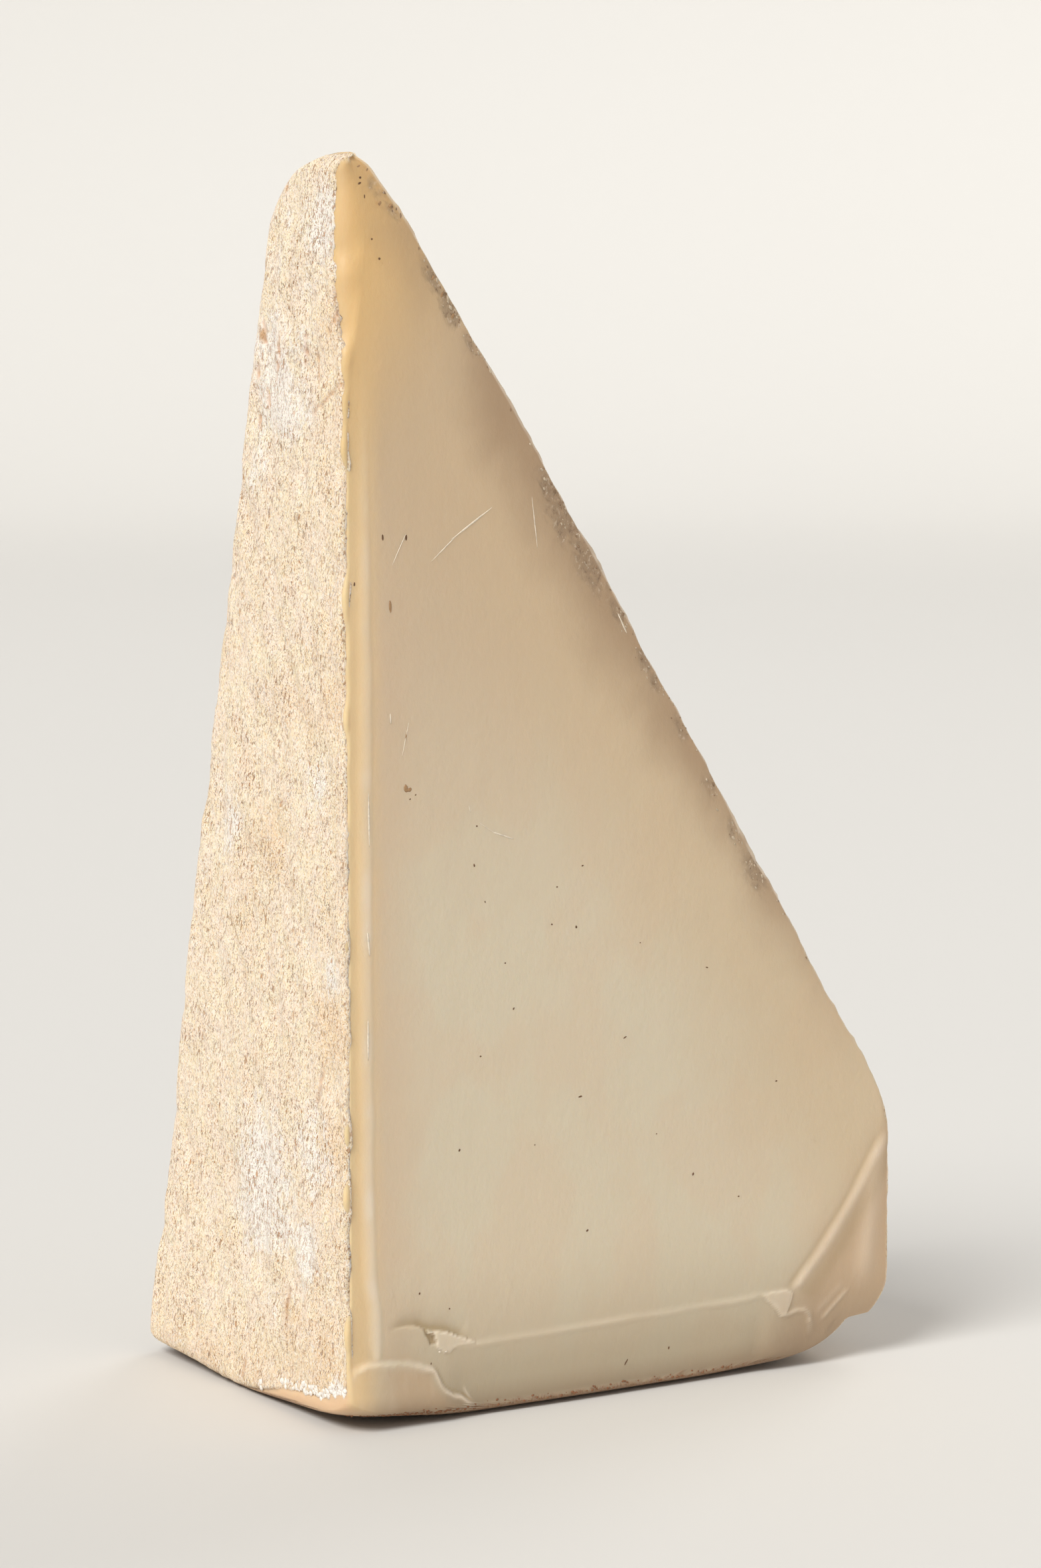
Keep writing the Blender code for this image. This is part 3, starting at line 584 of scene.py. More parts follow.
def mould_at(x, z):
    """How mouldy the cut face is near the trimmed edge."""
    most = 0.0
    for patch_x, patch_z, reach, strength in MOULD_PATCHES:
        if abs(z - patch_z) < 3.0 * reach and abs(x - patch_x) < 3.0 * reach:
            along = ((z - patch_z) * TRIM_FACING[0] - (x - patch_x) * TRIM_FACING[2]) / (1.6 * reach)
            across = ((x - patch_x) * TRIM_FACING[0] + (z - patch_z) * TRIM_FACING[2]) / (0.75 * reach)
            most = max(most, strength * math.exp(-along * along - across * across))
    return most * (1.0 + 0.5 * wander(0.8, x, z, 91.0))


# Relief of the cut face: each function gives (offset, pale tone with painted highlight, painted shade, rosy
# tone), the offset in millimetres

def strip_relief(x, z):
    """The sunken strip beside the rind and the raised band along its far side, which is painted pale as a
    highlight, with glints.
    """
    fade = 1.0 - smooth_step(BAND_TOP - BAND_FADE, BAND_TOP, z)
    edge = along_steps(z, BAND_EDGE) + 0.12 * wander(7.0, 0.0, z, 31.0)
    width = along_steps(z, BAND_WIDTH)
    at = x - edge
    band = smooth_step(-width - 0.5, -0.35 * width, at) * (1.0 - smooth_step(-0.3, 0.5, at))
    above = 1.0
    if z < FLAP_BOX[1] and x < FLAP_BOX[0]:
        above = 1.0 - smooth_step(-0.5, 0.1, flap_depth(x, z)[0])
    drop = STRIP_DROP * (1.0 - smooth_step(-width - 0.8, -width + 0.3, at))
    # Painted highlight: the band is painted pale, with brighter glints along it and more towards the foot
    glint = 0.45 + 0.5 * smooth_step(-0.1, 0.8, wander(5.0, 0.4 * x, z, 37.0))
    glint += 0.2 * smooth_step(60.0, 20.0, z)
    # Rosy tone beside the band: partly the paste's pinkish colour, partly painted shadow on the band's far
    # side
    rosy = smooth_step(0.0, 0.8, at) * (1.0 - smooth_step(1.0, 9.0, at))
    rosy *= 1.0 - smooth_step(95.0, 125.0, z)
    return fade * above * (BAND_HEIGHT * band - drop), fade * above * band * glint, 0.0, 0.8 * rosy * above


def foot_relief(x, z):
    """The band along the foot, below a raised crease which is painted pale as a highlight."""
    crease = CREASE_Z + CREASE_RISE * (x - CREASE_FROM) + 0.3 * wander(9.0, x, 0.0, 33.0)
    span = smooth_step(CREASE_FROM - 3.0, CREASE_FROM + 1.0, x)
    span *= 1.0 - smooth_step(CREASE_TO - 3.0, CREASE_TO, x)
    drop = FOOT_DROP * (1.0 - smooth_step(0.0, crease, z))
    crest = bell(z - crease, CREASE_HALF_WIDTH) * (0.7 + 0.4 * wander(7.0, x, 0.0, 39.0))
    return span * (CREASE_HEIGHT * crest - drop), 0.42 * span * crest, 0.0, 0.0


def flap_relief(x, z):
    """The flap with its rim painted bright as a highlight and a line of painted shade outside its lower rim,
    its torn end painted pale as a highlight, and the streaks pushed into it.
    """
    if x > FLAP_BOX[0] or z > FLAP_BOX[1]:
        return NO_RELIEF
    inside, way = flap_depth(x, z)
    side = smooth_step(0.0, 2.5, x)
    low_rim = smooth_step(0.42, 0.58, way)
    reach = 0.5 - 0.24 * low_rim
    # Painted highlight along the rim
    bright = 0.62 - 0.4 * bell(way - 0.30, 0.1) + 0.35 * low_rim
    rim = bell(inside - 0.8 * reach, reach) * bright
    raised = FLAP_HEIGHT * smooth_step(-0.12, 0.18 + 0.3 * (1.0 - low_rim), inside)
    gap, _, along = path_distance(x, z, FLAP_TEAR)
    tear = bell(gap, 0.18) * smooth_step(0.0, 0.2, along)
    streak = 0.12 * wander(1.0, x, 0.25 * z, 99.0) * smooth_step(0.5, 1.5, inside)
    # Painted shade just outside the lower rim
    shade = 0.5 * bell(inside + 0.28, 0.16) * low_rim
    rosy = 0.85 * smooth_step(0.3, 1.6, inside) * smooth_step(2.0, 9.0, x)
    pale_and_highlight = max(side * rim, 0.6 * tear, streak)
    return side * (raised + FLAP_RIM * rim) + 0.12 * tear, pale_and_highlight, side * shade, rosy


def crack_relief(x, z):
    """A lip of paste lifts over a crack; a chip and a pale flake lie below it. The crack line, the dip above
    it and the chip get painted shade, and the flake's edges painted highlight.
    """
    (left, right), (bottom, top) = CRACK_BOX
    if not (left < x < right and bottom < z < top):
        return NO_RELIEF
    gap, sign, way = path_distance(x, z, CRACK_LINE)
    opening = smooth_step(0.0, 0.45, way) * (1.0 - smooth_step(0.7, 1.0, way))
    above = sign < 0.0
    dip = CRACK_DEPTH * (0.25 + opening) * bell(gap, CRACK_LIP * (0.3 + opening) if above else 0.16)
    chip = smooth_step(-0.1, 0.15, outline_depth(x, z, CHIP_SHAPE) + 0.08 * wander(0.6, x, z, 42.0))
    inside = outline_depth(x, z, FLAKE_SHAPE) + 0.08 * wander(0.7, x, z, 43.0)
    flake = smooth_step(-0.1, 0.12, inside)
    chip *= 1.0 - flake
    offset = FLAKE_HEIGHT * flake - dip * (1.0 - flake) - CHIP_DEPTH * chip
    ends = smooth_step(0.0, 0.06, way) * (1.0 - smooth_step(0.9, 1.0, way))
    # Painted shade: a dark line along the crack, an olive band where the lip dips above it, and the chip
    line = 0.7 * bell(gap, 0.17) * (0.5 + 0.5 * opening) * ends
    olive = 0.85 * opening * bell(gap, 0.75) if above else 0.0
    # The flake is pale, brighter at its edges as a painted highlight
    pale = flake * (0.45 + 0.4 * bell(inside - 0.15, 0.2))
    return offset, pale, min(max(line, olive, 0.8 * chip) * (1.0 - flake), 1.0), 0.0


def fold_relief(x, z):
    """The folded corner: a bowed crest with a groove and a trough, a small fold, a flake and a curl. The
    raised parts are painted pale as highlights, and the groove, the trough and the curl's foot get painted
    shade.
    """
    if x < FOLD_BOX[0] or z > FOLD_BOX[1]:
        return NO_RELIEF
    across, along = segment_distance(x, z, *FOLD_LINE)
    across += 0.22 * wander(6.0, x, z, 44.0) - FOLD_BOW * max(4.0 * along * (1.0 - along), 0.0)
    span = smooth_step(-0.04, 0.05, along) * (1.0 - smooth_step(0.95, 1.15, along))
    half = FOLD_HALF_WIDTH * (0.7 + 0.35 * min(max(along, 0.0), 1.0))
    crest = bell(across - 0.5 * half, half)
    groove = bell(across + 0.75, 0.4)
    swell = bell(x - (79.9 + 0.13 * z), 1.6) * smooth_step(7.0, 13.0, z) * (1.0 - smooth_step(22.0, 29.0, z))
    trough = smooth_step(1.0, 4.0, across)
    offset = span * (FOLD_HEIGHT * crest - FOLD_GROOVE * groove - FOLD_DROP * trough) + 0.3 * swell
    small_across, small_along = segment_distance(x, z, *SMALL_FOLD_LINE)
    small_span = smooth_step(-0.15, 0.15, small_along) * (1.0 - smooth_step(0.8, 1.15, small_along))
    small = (bell(small_across, SMALL_FOLD_HALF_WIDTH) + 0.4 * bell(small_across + 1.3, 0.5)) * small_span
    inside = outline_depth(x, z, CORNER_FLAKE_SHAPE) + 0.15 * wander(1.2, x, z, 45.0)
    flake = smooth_step(-0.12, 0.15, inside)
    gap, _, way = path_distance(x, z, CURL_LINE)
    curl = bell(gap, CURL_HALF_WIDTH) * smooth_step(0.0, 0.15, way) * (1.0 - smooth_step(0.75, 1.0, way))
    offset += SMALL_FOLD_HEIGHT * small + CORNER_FLAKE_HEIGHT * flake + CURL_HEIGHT * curl
    # Painted highlight on the crest, the small fold, the flake's edges, the curl and the swell
    crest_highlight = span * crest * (0.62 + 0.2 * wander(3.0, along * 20.0, 0.0, 46.0))
    flake_pale_and_highlight = flake * (0.45 + 0.3 * bell(inside - 0.2, 0.25))
    pale_and_highlight = max(crest_highlight, 0.4 * small, flake_pale_and_highlight, 0.5 * curl, 0.45 * swell)
    rosy = max(0.7 * span * crest, 0.8 * swell)
    # Painted shade in the groove, the trough and beside the curl
    curl_shade = 0.4 * curl * bell(gap - 0.5, 0.2)
    shade = max(span * 0.35 * groove, 0.3 * span * bell(across - 2.6, 1.3), curl_shade)
    return offset, pale_and_highlight, shade, rosy


def cut_face_relief(x, z):
    offset, pale_and_highlight, shade, rosy = CUT_SWELL * wander(CUT_SWELL_LENGTH, x, z, 1.3), 0.0, 0.0, 0.0
    for relief in (strip_relief, foot_relief, flap_relief, crack_relief, fold_relief):
        # Each relief gives its offset, pale tone with painted highlight, painted shade and rosy tone
        more, pale, deep, pink = relief(x, z)
        offset += more * smooth_step(0.0, 1.0, z)
        pale_and_highlight, shade, rosy = max(pale_and_highlight, pale), max(shade, deep), max(rosy, pink)
    offset += 0.02 * wander(2.6, x, 0.5 * z, 47.0)
    return offset, pale_and_highlight, shade, rosy


def notch_shift(x, y, z):
    """How far the notch worn in the shoulder, below a ledge, moves a place of the wedge inwards."""
    if z > NOTCH_TOP:
        return 0.0
    ledge = smooth_step(NOTCH_TOP, NOTCH_TOP - NOTCH_LEDGE, z) * (0.3 + 0.7 * z / NOTCH_TOP)
    depth = NOTCH_DEPTH * bell(y - NOTCH_Y, NOTCH_HALF_Y) * ledge
    far = far_side(z)
    return depth * smooth_step(far - NOTCH_REACH, far - 0.5, x)


def rind_crags(y, z):
    """Crags and hollows of the rind, which run up and down; the tip is worn smooth."""
    swell = RIND_SWELL_DEPTH * wander(RIND_SWELL_LENGTH, y, z, 4.1)
    stretch = RIND_CRAG_WIDTH / RIND_CRAG_LENGTH
    crag = RIND_CRAG_DEPTH * wander(RIND_CRAG_WIDTH, y, z * stretch, 7.7)
    worn = 1.0 - 0.7 * smooth_step(SMOOTH_TIP_FROM, HEIGHT, z)
    return (swell + min(crag, RIND_CRAG_OUT)) * worn * smooth_step(0.0, RELIEF_FOOT_FADE, z)


def trimmed_relief(y, z):
    """Waves and crumbs of the trimmed face, calmer on the short rind."""
    wave = TRIM_WAVE * wander(TRIM_WAVE_LENGTH, 0.4 * y, z, 11.9)
    crumb = TRIM_CRUMB * wander(TRIM_CRUMB_LENGTH, y, z, 13.3)
    fine = 0.14 * wander(1.3, y, z, 49.0) + 0.07 * wander(0.6, y, z, 51.0)
    trimmed = smooth_step(SHOULDER_HEIGHT, TRIM_FOOT_Z, z) * (1.0 - smooth_step(SMOOTH_TIP_FROM, HEIGHT, z))
    rind = (1.0 - trimmed) * 0.12 * wander(1.1, y, 0.6 * z, 53.0)
    return (wave + crumb + fine) * trimmed + min(rind, 0.0)


def back_relief(x, z):
    swell = CUT_SWELL * wander(CUT_SWELL_LENGTH, x, z, 17.1)
    return (swell + 0.06 * wander(5.0, 0.3 * x, z, 55.0)) * smooth_step(0.0, RELIEF_FOOT_FADE, z)


def edge_crumble(z):
    return EDGE_CRUMBLE * wander(EDGE_CRUMBLE_LENGTH, 0.0, z, 21.7) * smooth_step(0.0, 6.0, z)


def rind_foot(y):
    """Height at which the rough rind ends above the worn, peeled foot; it climbs towards the near edge."""
    peeled = 1.0 - smooth_step(RIND_PEEL_FULL_Y, RIND_PEEL_TO_Y, y)
    ragged = 0.35 * wander(2.6, y, 0.0, 57.0) + 0.3 * wander(0.9, y, 0.0, 59.0)
    height = RIND_PEEL_HEIGHT + RIND_PEEL_CLIMB * math.exp(-max(y, 0.0) / RIND_PEEL_CLIMB_Y) + ragged
    return RIND_FOOT_GAP + peeled * (height - RIND_FOOT_GAP) + 0.12 * wander(1.2, y, 0.0, 61.0)


# Mesh of the paste

def even(count):
    return [i / count for i in range(1, count)]


def cut_fractions(run):
    """Fractions along the cut face: the strip keeps its width, and the other zones share what is left."""
    strip_width, full = CUT_ZONES[0][1], CUT_ZONES[-1][1]
    strip = min(strip_width, STRIP_SHARE * run)
    fractions = []
    for low, high, count in CUT_ZONES:
        for i in range(1, count + 1):
            at = low + (high - low) * i / count
            if at <= strip_width:
                fractions.append(at / strip_width * strip / run)
            else:
                fractions.append((strip + (run - strip) * (at - strip_width) / (full - strip_width)) / run)
    return fractions[:-1]


def arc(centre, radius, start_degrees, count):
    points = []
    for i in range(count + 1):
        angle = math.radians(start_degrees + 90.0 * i / count)
        nx, ny = math.cos(angle), math.sin(angle)
        points.append((centre[0] + radius * nx, centre[1] + radius * ny, nx, ny))
    return points


def run_between(start, end, fractions):
    """Points of a straight side, which all face as its start does."""
    return [(start[0] + t * (end[0] - start[0]), start[1] + t * (end[1] - start[1]), *start[2:])
            for t in fractions]


def plan_loop(z):
    """The closed loop round the wedge at one height, before relief: (x, y, facing x, facing y)."""
    left, right, front, back = rind_side(z), far_side(z), front_side(z), back_side(z)
    near, trim, far, rear = edge_radii(z)
    arcs = (
        arc((right - trim, front + trim), trim, -90.0, ARC_POINTS[0]),
        arc((right - far, back - far), far, 0.0, ARC_POINTS[1]),
        arc((left + rear, back - rear), rear, 90.0, ARC_POINTS[2]),
        arc((left + near, front + near), near, 180.0, ARC_POINTS[3]),
    )
    cut_run = arcs[0][0][0] - arcs[3][-1][0]
    sides = (cut_fractions(cut_run), even(TRIM_POINTS), even(BACK_POINTS), even(RIND_BACKING_POINTS))
    loop = []
    for before, after, fractions in zip((arcs[3],) + arcs[:3], arcs, sides):
        loop += run_between(before[-1], after[0], fractions) + after
    return loop


def bare_rind(x, y, z, nx):
    """Where the paste shows as rind: the short rind, the thin line round the heel and the top of the tip."""
    short = smooth_step(0.5, 0.9, nx)
    short *= 1.0 - smooth_step(-0.5, 0.5, z - SHORT_RIND_TOP - 0.8 * wander(3.0, y, z, 63.0))
    heel_line = HEEL_LINE + 0.3 * wander(1.5, x + y, 0.0, 65.0) + 0.2 * wander(0.5, x + y, 0.0, 67.0)
    heel = 1.0 - smooth_step(heel_line - 0.15, heel_line + 0.15, z)
    top = smooth_step(HEIGHT - 1.5, HEIGHT - 0.6, z + 0.35 * wander(0.9, x, y, 68.0))
    top *= 1.0 - smooth_step(0.6, 2.0, x + 0.4 * wander(1.1, y, z, 69.0))
    return max(short, heel, top)


def tip_slope(x, z):
    """How far the cut face leans back beside the rind at the tip."""
    beside_rind = 1.0 - smooth_step(1.0, TIP_SLOPE_TO_X, x)
    return TIP_SLOPE_DEPTH * smooth_step(NEAR_TIP_FROM, NEAR_TIP_TO, z) * beside_rind


def paste_point(x, y, z, nx, ny, skin):
    """A point of the paste with its relief, and its marks; the paste lies a skin deep below the rind."""
    toward_rind, toward_far = max(-nx, 0.0) ** 2, max(nx, 0.0) ** 2
    toward_cut, toward_back = max(-ny, 0.0) ** 2, max(ny, 0.0) ** 2
    offset, pale_and_highlight, shade, rosy, mould, peel = 0.0, 0.0, 0.0, 0.0, 0.0, 0.0
    if toward_rind > 0.0:
        under = smooth_step(-0.2, 0.3, z - rind_foot(y))
        offset += toward_rind * (rind_crags(y, z) - skin * under - PEEL_DEPTH * (1.0 - under))
        peel = toward_rind * (1.0 - under)
    if toward_far > 0.0:
        offset += toward_far * trimmed_relief(y, z)
    if toward_back > 0.0:
        offset += toward_back * back_relief(x, z)
    if toward_cut > 0.0:
        more, pale_and_highlight, shade, rosy = cut_face_relief(x, z)
        mould = mould_at(x, z)
        offset += toward_cut * (more - MOULD_DEPTH * mould - tip_slope(x, z))
        pale_and_highlight, shade, rosy = pale_and_highlight * toward_cut, shade * toward_cut, rosy * toward_cut
    if nx < 0.0 and ny < 0.0:
        offset += 4.0 * nx * ny * edge_crumble(z)
    if nx > 0.0 and ny < 0.0:
        # Painted highlight: a thin pale line along the rounded edge between the cut face and the trimmed
        # face
        edge_highlight = smooth_step(0.35, 0.6, nx) * (1.0 - smooth_step(0.8, 0.97, nx))
        edge_highlight *= smooth_step(*EDGE_HIGHLIGHT_HEIGHTS, z)
        pale_and_highlight = max(pale_and_highlight, edge_highlight * (0.6 + 0.5 * wander(2.0, 0.0, z, 93.0)))
    chalky = smooth_step(*CHALK_HEIGHTS, z) * smooth_step(0.45, 0.95, -nx) * toward_cut ** 0.5
    pale_and_highlight = max(pale_and_highlight, CHALK_STRENGTH * chalky)
    marks = {"pale_and_highlight": pale_and_highlight, "shade": shade, "rosy": rosy, "mould": mould,
             "bare_rind": bare_rind(x, y, z, nx), "peel": peel}
    return (x + offset * nx - notch_shift(x, y, z), y + offset * ny, z), marks


def heights():
    rows = [0.0]
    for low, high, step in ROW_ZONES:
        count = round((high - low) / step)
        rows += [low + (high - low) * i / count for i in range(1, count + 1)]
    return rows


def to_frame(point):
    """Millimetres from the upright edge as metres in the model's frame, with the heel's rounding added."""
    x, y, z = point
    z -= max(1.0 - z / SAG_FADE_HEIGHT, 0.0) ** 2 * heel_sag(x, y)
    placed = ((x + EDGE_X) * MM, (y + EDGE_Y) * MM, (z + EDGE_Z) * MM)
    return tuple(min(max(v, low), high) for v, low, high in zip(placed, BOX_LOW, BOX_HIGH))


def new_piece(name, vertices, faces, material):
    """A piece of the wedge that moves with it."""
    mesh = bpy.data.meshes.new(name)
    mesh.from_pydata([to_frame(v) for v in vertices], [], faces)
    mesh.materials.append(material)
    mesh.shade_smooth()
    mesh.update()
    piece = bpy.data.objects.new(name, mesh)
    bpy.context.scene.collection.objects.link(piece)
    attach(piece, BODY)
    return piece


def add_marks(piece, marks):
    for name in marks[0]:
        layer = piece.data.attributes.new(name, "FLOAT", "POINT")
        layer.data.foreach_set("value", [mark[name] for mark in marks])


def ring_faces(rings, size):
    """Quads between closed rings of points, with a cap at both ends."""
    faces = []
    for row in range(rings - 1):
        base, above = row * size, (row + 1) * size
        for i in range(size):
            j = (i + 1) % size
            faces.append((base + i, base + j, above + j, above + i))
    faces.append(tuple(range(size))[::-1])
    faces.append(tuple(range((rings - 1) * size, rings * size)))
    return faces


def make_paste(skin):
    """Points, faces and marks of the paste, from rings under the heel up to a cap at the tip."""
    points, marks, size = [], [], 0
    rows = heights()
    for z in rows:
        loop = plan_loop(z)
        size = len(loop)
        for x, y, nx, ny in loop:
            point, mark = paste_point(x, y, z, nx, ny, skin)
            points.append(point)
            marks.append(mark)
    underside = [tuple(c + share * (v - c) for c, v in zip(HEEL_CENTRE, p)) + (0.0,)
                 for share in HEEL_RINGS for p in points[:size]]
    points = underside + points
    marks = marks[:size] * len(HEEL_RINGS) + marks
    top = points[-size:]
    centre = [sum(p[i] for p in top) / size for i in range(2)]
    points += [tuple(c + TIP_CAP_SHARE * (v - c) for c, v in zip(centre, p)) + (HEIGHT,) for p in top]
    marks += marks[-size:]
    return points, ring_faces(len(HEEL_RINGS) + len(rows) + 1, size), marks


def spots_at(y, z, spots):
    most = 0.0
    for spot_y, spot_z, reach, strength in spots:
        if abs(z - spot_z) < 2.2 * reach and abs(y - spot_y) < 2.2 * reach:
            gap = math.hypot(y - spot_y, 0.8 * (z - spot_z)) / reach
            most = max(most, strength * math.exp(-gap * gap))
    return most


def crack_at(y, z):
    """How deep in one of the rind's cracks a place lies."""
    deepest = 0.0
    for line in RIND_CRACKS:
        low_z, high_z = min(line[0][1], line[-1][1]), max(line[0][1], line[-1][1])
        if low_z - 1.0 < z < high_z + 1.0:
            gap = path_distance(y + 0.25 * wander(1.3, y, z, 95.0), z, line)[0]
            deepest = max(deepest, bell(gap, RIND_CRACK_HALF_WIDTH) * (0.5 + 0.5 * wander(1.0, y, z, 97.0)))
    return max(deepest, 0.0)


# Mesh of the rind

def rind_pits(y, z):
    """Offset of the fine grain, pits and cracks, then the marks bloom, ochre, rust and crack."""
    worn = 1.0 - 0.8 * smooth_step(SMOOTH_TIP_FROM - 4.0, SMOOTH_TIP_FROM + 4.0, z)
    grain = 0.08 * wander(1.5, y, 0.5 * z, 71.0) + 0.06 * wander(0.7, y, 0.55 * z, 73.0)
    cell, _ = noise.voronoi(Vector((y / PIT_WIDTH, (z + PIT_LEAN * y) / PIT_LENGTH, 75.0)))
    dry = smooth_step(-0.3, 0.5, wander(11.0, y, z, 77.0))
    pit = PIT_DEPTH * (0.3 + 0.7 * dry) * (1.0 - smooth_step(0.08, 0.30, cell[0]))
    crack = crack_at(y, z)
    bloom = spots_at(y, z, BLOOM_SPOTS) + 0.25 * wander(5.0, y, z, 78.0)
    offset = (min(grain, GRAIN_OUT) - pit) * worn - RIND_CRACK_DEPTH * crack
    return offset, bloom, spots_at(y, z, OCHRE_SPOTS), spots_at(y, z, RUST_SPOTS), crack


def rind_profile(y, z):
    """Outer surface of the rind at one place, as x."""
    near, _, _, rear = edge_radii(z)
    edge = rounding(max(y - front_side(z), 0.0), near) + rounding(max(back_side(z) - y, 0.0), rear)
    return rind_side(z) + edge - rind_crags(y, z)


def rind_borders(z):
    """Where the rind starts and ends across the wedge; the near border crumbles more towards the tip."""
    front, back = front_side(z), back_side(z)
    near, _, _, rear = edge_radii(z)
    upper = smooth_step(112.0, 130.0, z)
    ragged = (0.06 + 0.22 * upper) * wander(2.4, 0.0, z, 79.0)
    ragged += (0.06 + 0.14 * upper) * wander(0.8, 0.0, z, 81.0)
    tip = 0.55 * smooth_step(NEAR_TIP_FROM, NEAR_TIP_TO, z)
    low = smooth_step(4.0, 0.0, z)
    start = front + min(near, 3.0) * (0.25 + tip) + 0.3 * low - edge_crumble(z) + ragged
    end = back - rear * 0.2 - max(0.2 * wander(2.6, 3.0, z, 83.0), -0.1)
    return max(start, front + 0.1 * min(near, 3.0)), end


def rind_faces():
    """Faces of the rind, its points counted as make_rind lays them: outer sheet, strips behind, two ends."""
    faces = []
    first_inner = RIND_ROWS * RIND_COLUMNS
    for row in range(RIND_ROWS - 1):
        base, above = row * RIND_COLUMNS, (row + 1) * RIND_COLUMNS
        for j in range(RIND_COLUMNS - 1):
            faces.append((base + j, above + j, above + j + 1, base + j + 1))
    for row in range(RIND_ROWS - 1):
        near, far = first_inner + 2 * row, first_inner + 2 * row + 1
        left, right = row * RIND_COLUMNS, (row + 1) * RIND_COLUMNS - 1
        faces.append((near, far, far + 2, near + 2))
        faces.append((left, near, near + 2, left + RIND_COLUMNS))
        faces.append((far, right, right + RIND_COLUMNS, far + 2))
    last = (RIND_ROWS - 1) * RIND_COLUMNS
    last_inner = first_inner + 2 * (RIND_ROWS - 1)
    faces.append(tuple(range(RIND_COLUMNS)) + (first_inner + 1, first_inner))
    faces.append(tuple(range(last + RIND_COLUMNS - 1, last - 1, -1)) + (last_inner, last_inner + 1))
    return faces


def make_rind(thickness):
    """A closed layer: a fine outer surface, plain strips behind it and an end at the foot and at the tip."""
    points, inner, marks = [], [], []
    for row in range(RIND_ROWS):
        z_row = (HEIGHT - RIND_TOP_GAP) * row / (RIND_ROWS - 1)
        start, end = rind_borders(z_row)
        for j in range(RIND_COLUMNS):
            y = start + j / (RIND_COLUMNS - 1) * (end - start)
            foot = rind_foot(y)
            z = z_row + foot * (1.0 - smooth_step(0.0, RIND_FOOT_FADE, z_row))
            from_edge = min(y - start, end - y, 1.5 * (z - foot) + 0.02)
            rim = smooth_step(0.0, RIND_RIM_WIDTH, from_edge)
            pits, *mark = rind_pits(y, z)
            points.append((rind_profile(y, z) - rim * pits + (1.0 - rim) * RIND_RIM_DROP, y, z))
            marks.append(dict(zip(RIND_MARKS, mark)))
        behind = rind_side(z_row) + thickness
        for edge in (points[-RIND_COLUMNS], points[-1]):
            inner.append((max(behind, edge[0] + RIND_LEAST_DEPTH), edge[1], edge[2]))
    return points + inner, rind_faces(), marks + [marks[0]] * len(inner)


def cut_place(x, z):
    """A point on the cut face, as the paste has it, also where its upright edges are rounded."""
    left, right, y = rind_side(z), far_side(z), front_side(z)
    near, trim = edge_radii(z)[:2]
    if x < left + near:
        y += near - math.sqrt(max(near * near - (left + near - x) ** 2, 0.0))
    if x > right - trim:
        y += trim - math.sqrt(max(trim * trim - (x - right + trim) ** 2, 0.0))
    return (x, y - cut_face_relief(x, z)[0] + MOULD_DEPTH * mould_at(x, z), z)


def lens(at, length, width, height, angle, turn=(0.0, -1.0, 0.0)):
    """Points and faces of a low pebble lying on a face; the angle turns it within the face."""
    rings, around = PEBBLE_RINGS, PEBBLE_POINTS
    out = Vector(turn).normalized()
    side = Vector((0.0, 0.0, 1.0)).cross(out)
    side = side.normalized() if side.length > 0.01 else Vector((1.0, 0.0, 0.0))
    up = out.cross(side)
    long_way = side * math.cos(angle) + up * math.sin(angle)
    wide_way = up * math.cos(angle) - side * math.sin(angle)
    points = [Vector(at) - out * height]
    for ring in range(1, rings):
        lift = -math.cos(math.pi * ring / rings)
        size = math.sin(math.pi * ring / rings)
        for i in range(around):
            a = math.tau * i / around
            bump_at = Vector((at[0] * 3.1 + math.cos(a), at[2] * 2.7 + math.sin(a), 5.0))
            wobble = 1.0 + 0.25 * noise.noise(bump_at)
            flat = long_way * (0.5 * length * size * math.cos(a) * wobble)
            flat += wide_way * (0.5 * width * size * math.sin(a) * wobble)
            points.append(Vector(at) + flat + out * (lift * height))
    points.append(Vector(at) + out * height)
    faces = []
    for i in range(around):
        j = (i + 1) % around
        faces.append((0, 1 + j, 1 + i))
        for ring in range(rings - 2):
            low, high = 1 + ring * around, 1 + (ring + 1) * around
            faces.append((low + i, low + j, high + j, high + i))
        top = 1 + (rings - 2) * around
        faces.append((top + i, top + j, len(points) - 1))
    return points, faces


def gather(shapes):
    """Many small shapes as one mesh."""
    points, faces = [], []
    for shape_points, shape_faces in shapes:
        base = len(points)
        points += shape_points
        faces += [tuple(base + i for i in face) for face in shape_faces]
    return points, faces


def make_specks(specks):
    """Dark dots and ticks set into the cut face, barely raised."""
    return gather([
        lens(cut_place(x, z), SPECK_SHARE * length, SPECK_SHARE * width, SPECK_HEIGHT, math.radians(lean))
        for x, z, length, width, lean in specks
    ])


def make_scratches_and_glints():
    """Thin pale scratches, and glints that are painted highlights: each is a chain of long, low, overlapping
    pebbles.
    """
    shapes = []
    for (x1, z1), (x2, z2), width in SCRATCHES_AND_GLINTS:
        length = math.hypot(x2 - x1, z2 - z1)
        count = max(1, round(length / SCRATCH_AND_GLINT_STEP))
        angle = math.atan2(z2 - z1, x2 - x1)
        for i in range(count):
            t = (i + 0.5) / count
            thin = math.sin(math.pi * t) ** 0.5
            at = cut_place(x1 + t * (x2 - x1), z1 + t * (z2 - z1))
            reach = (SCRATCH_AND_GLINT_OVERLAP if count > 1 else 1.0) * length / count
            shapes.append(lens(at, reach, width * thin, 0.02 + 0.15 * width * thin, angle))
    return gather(shapes)


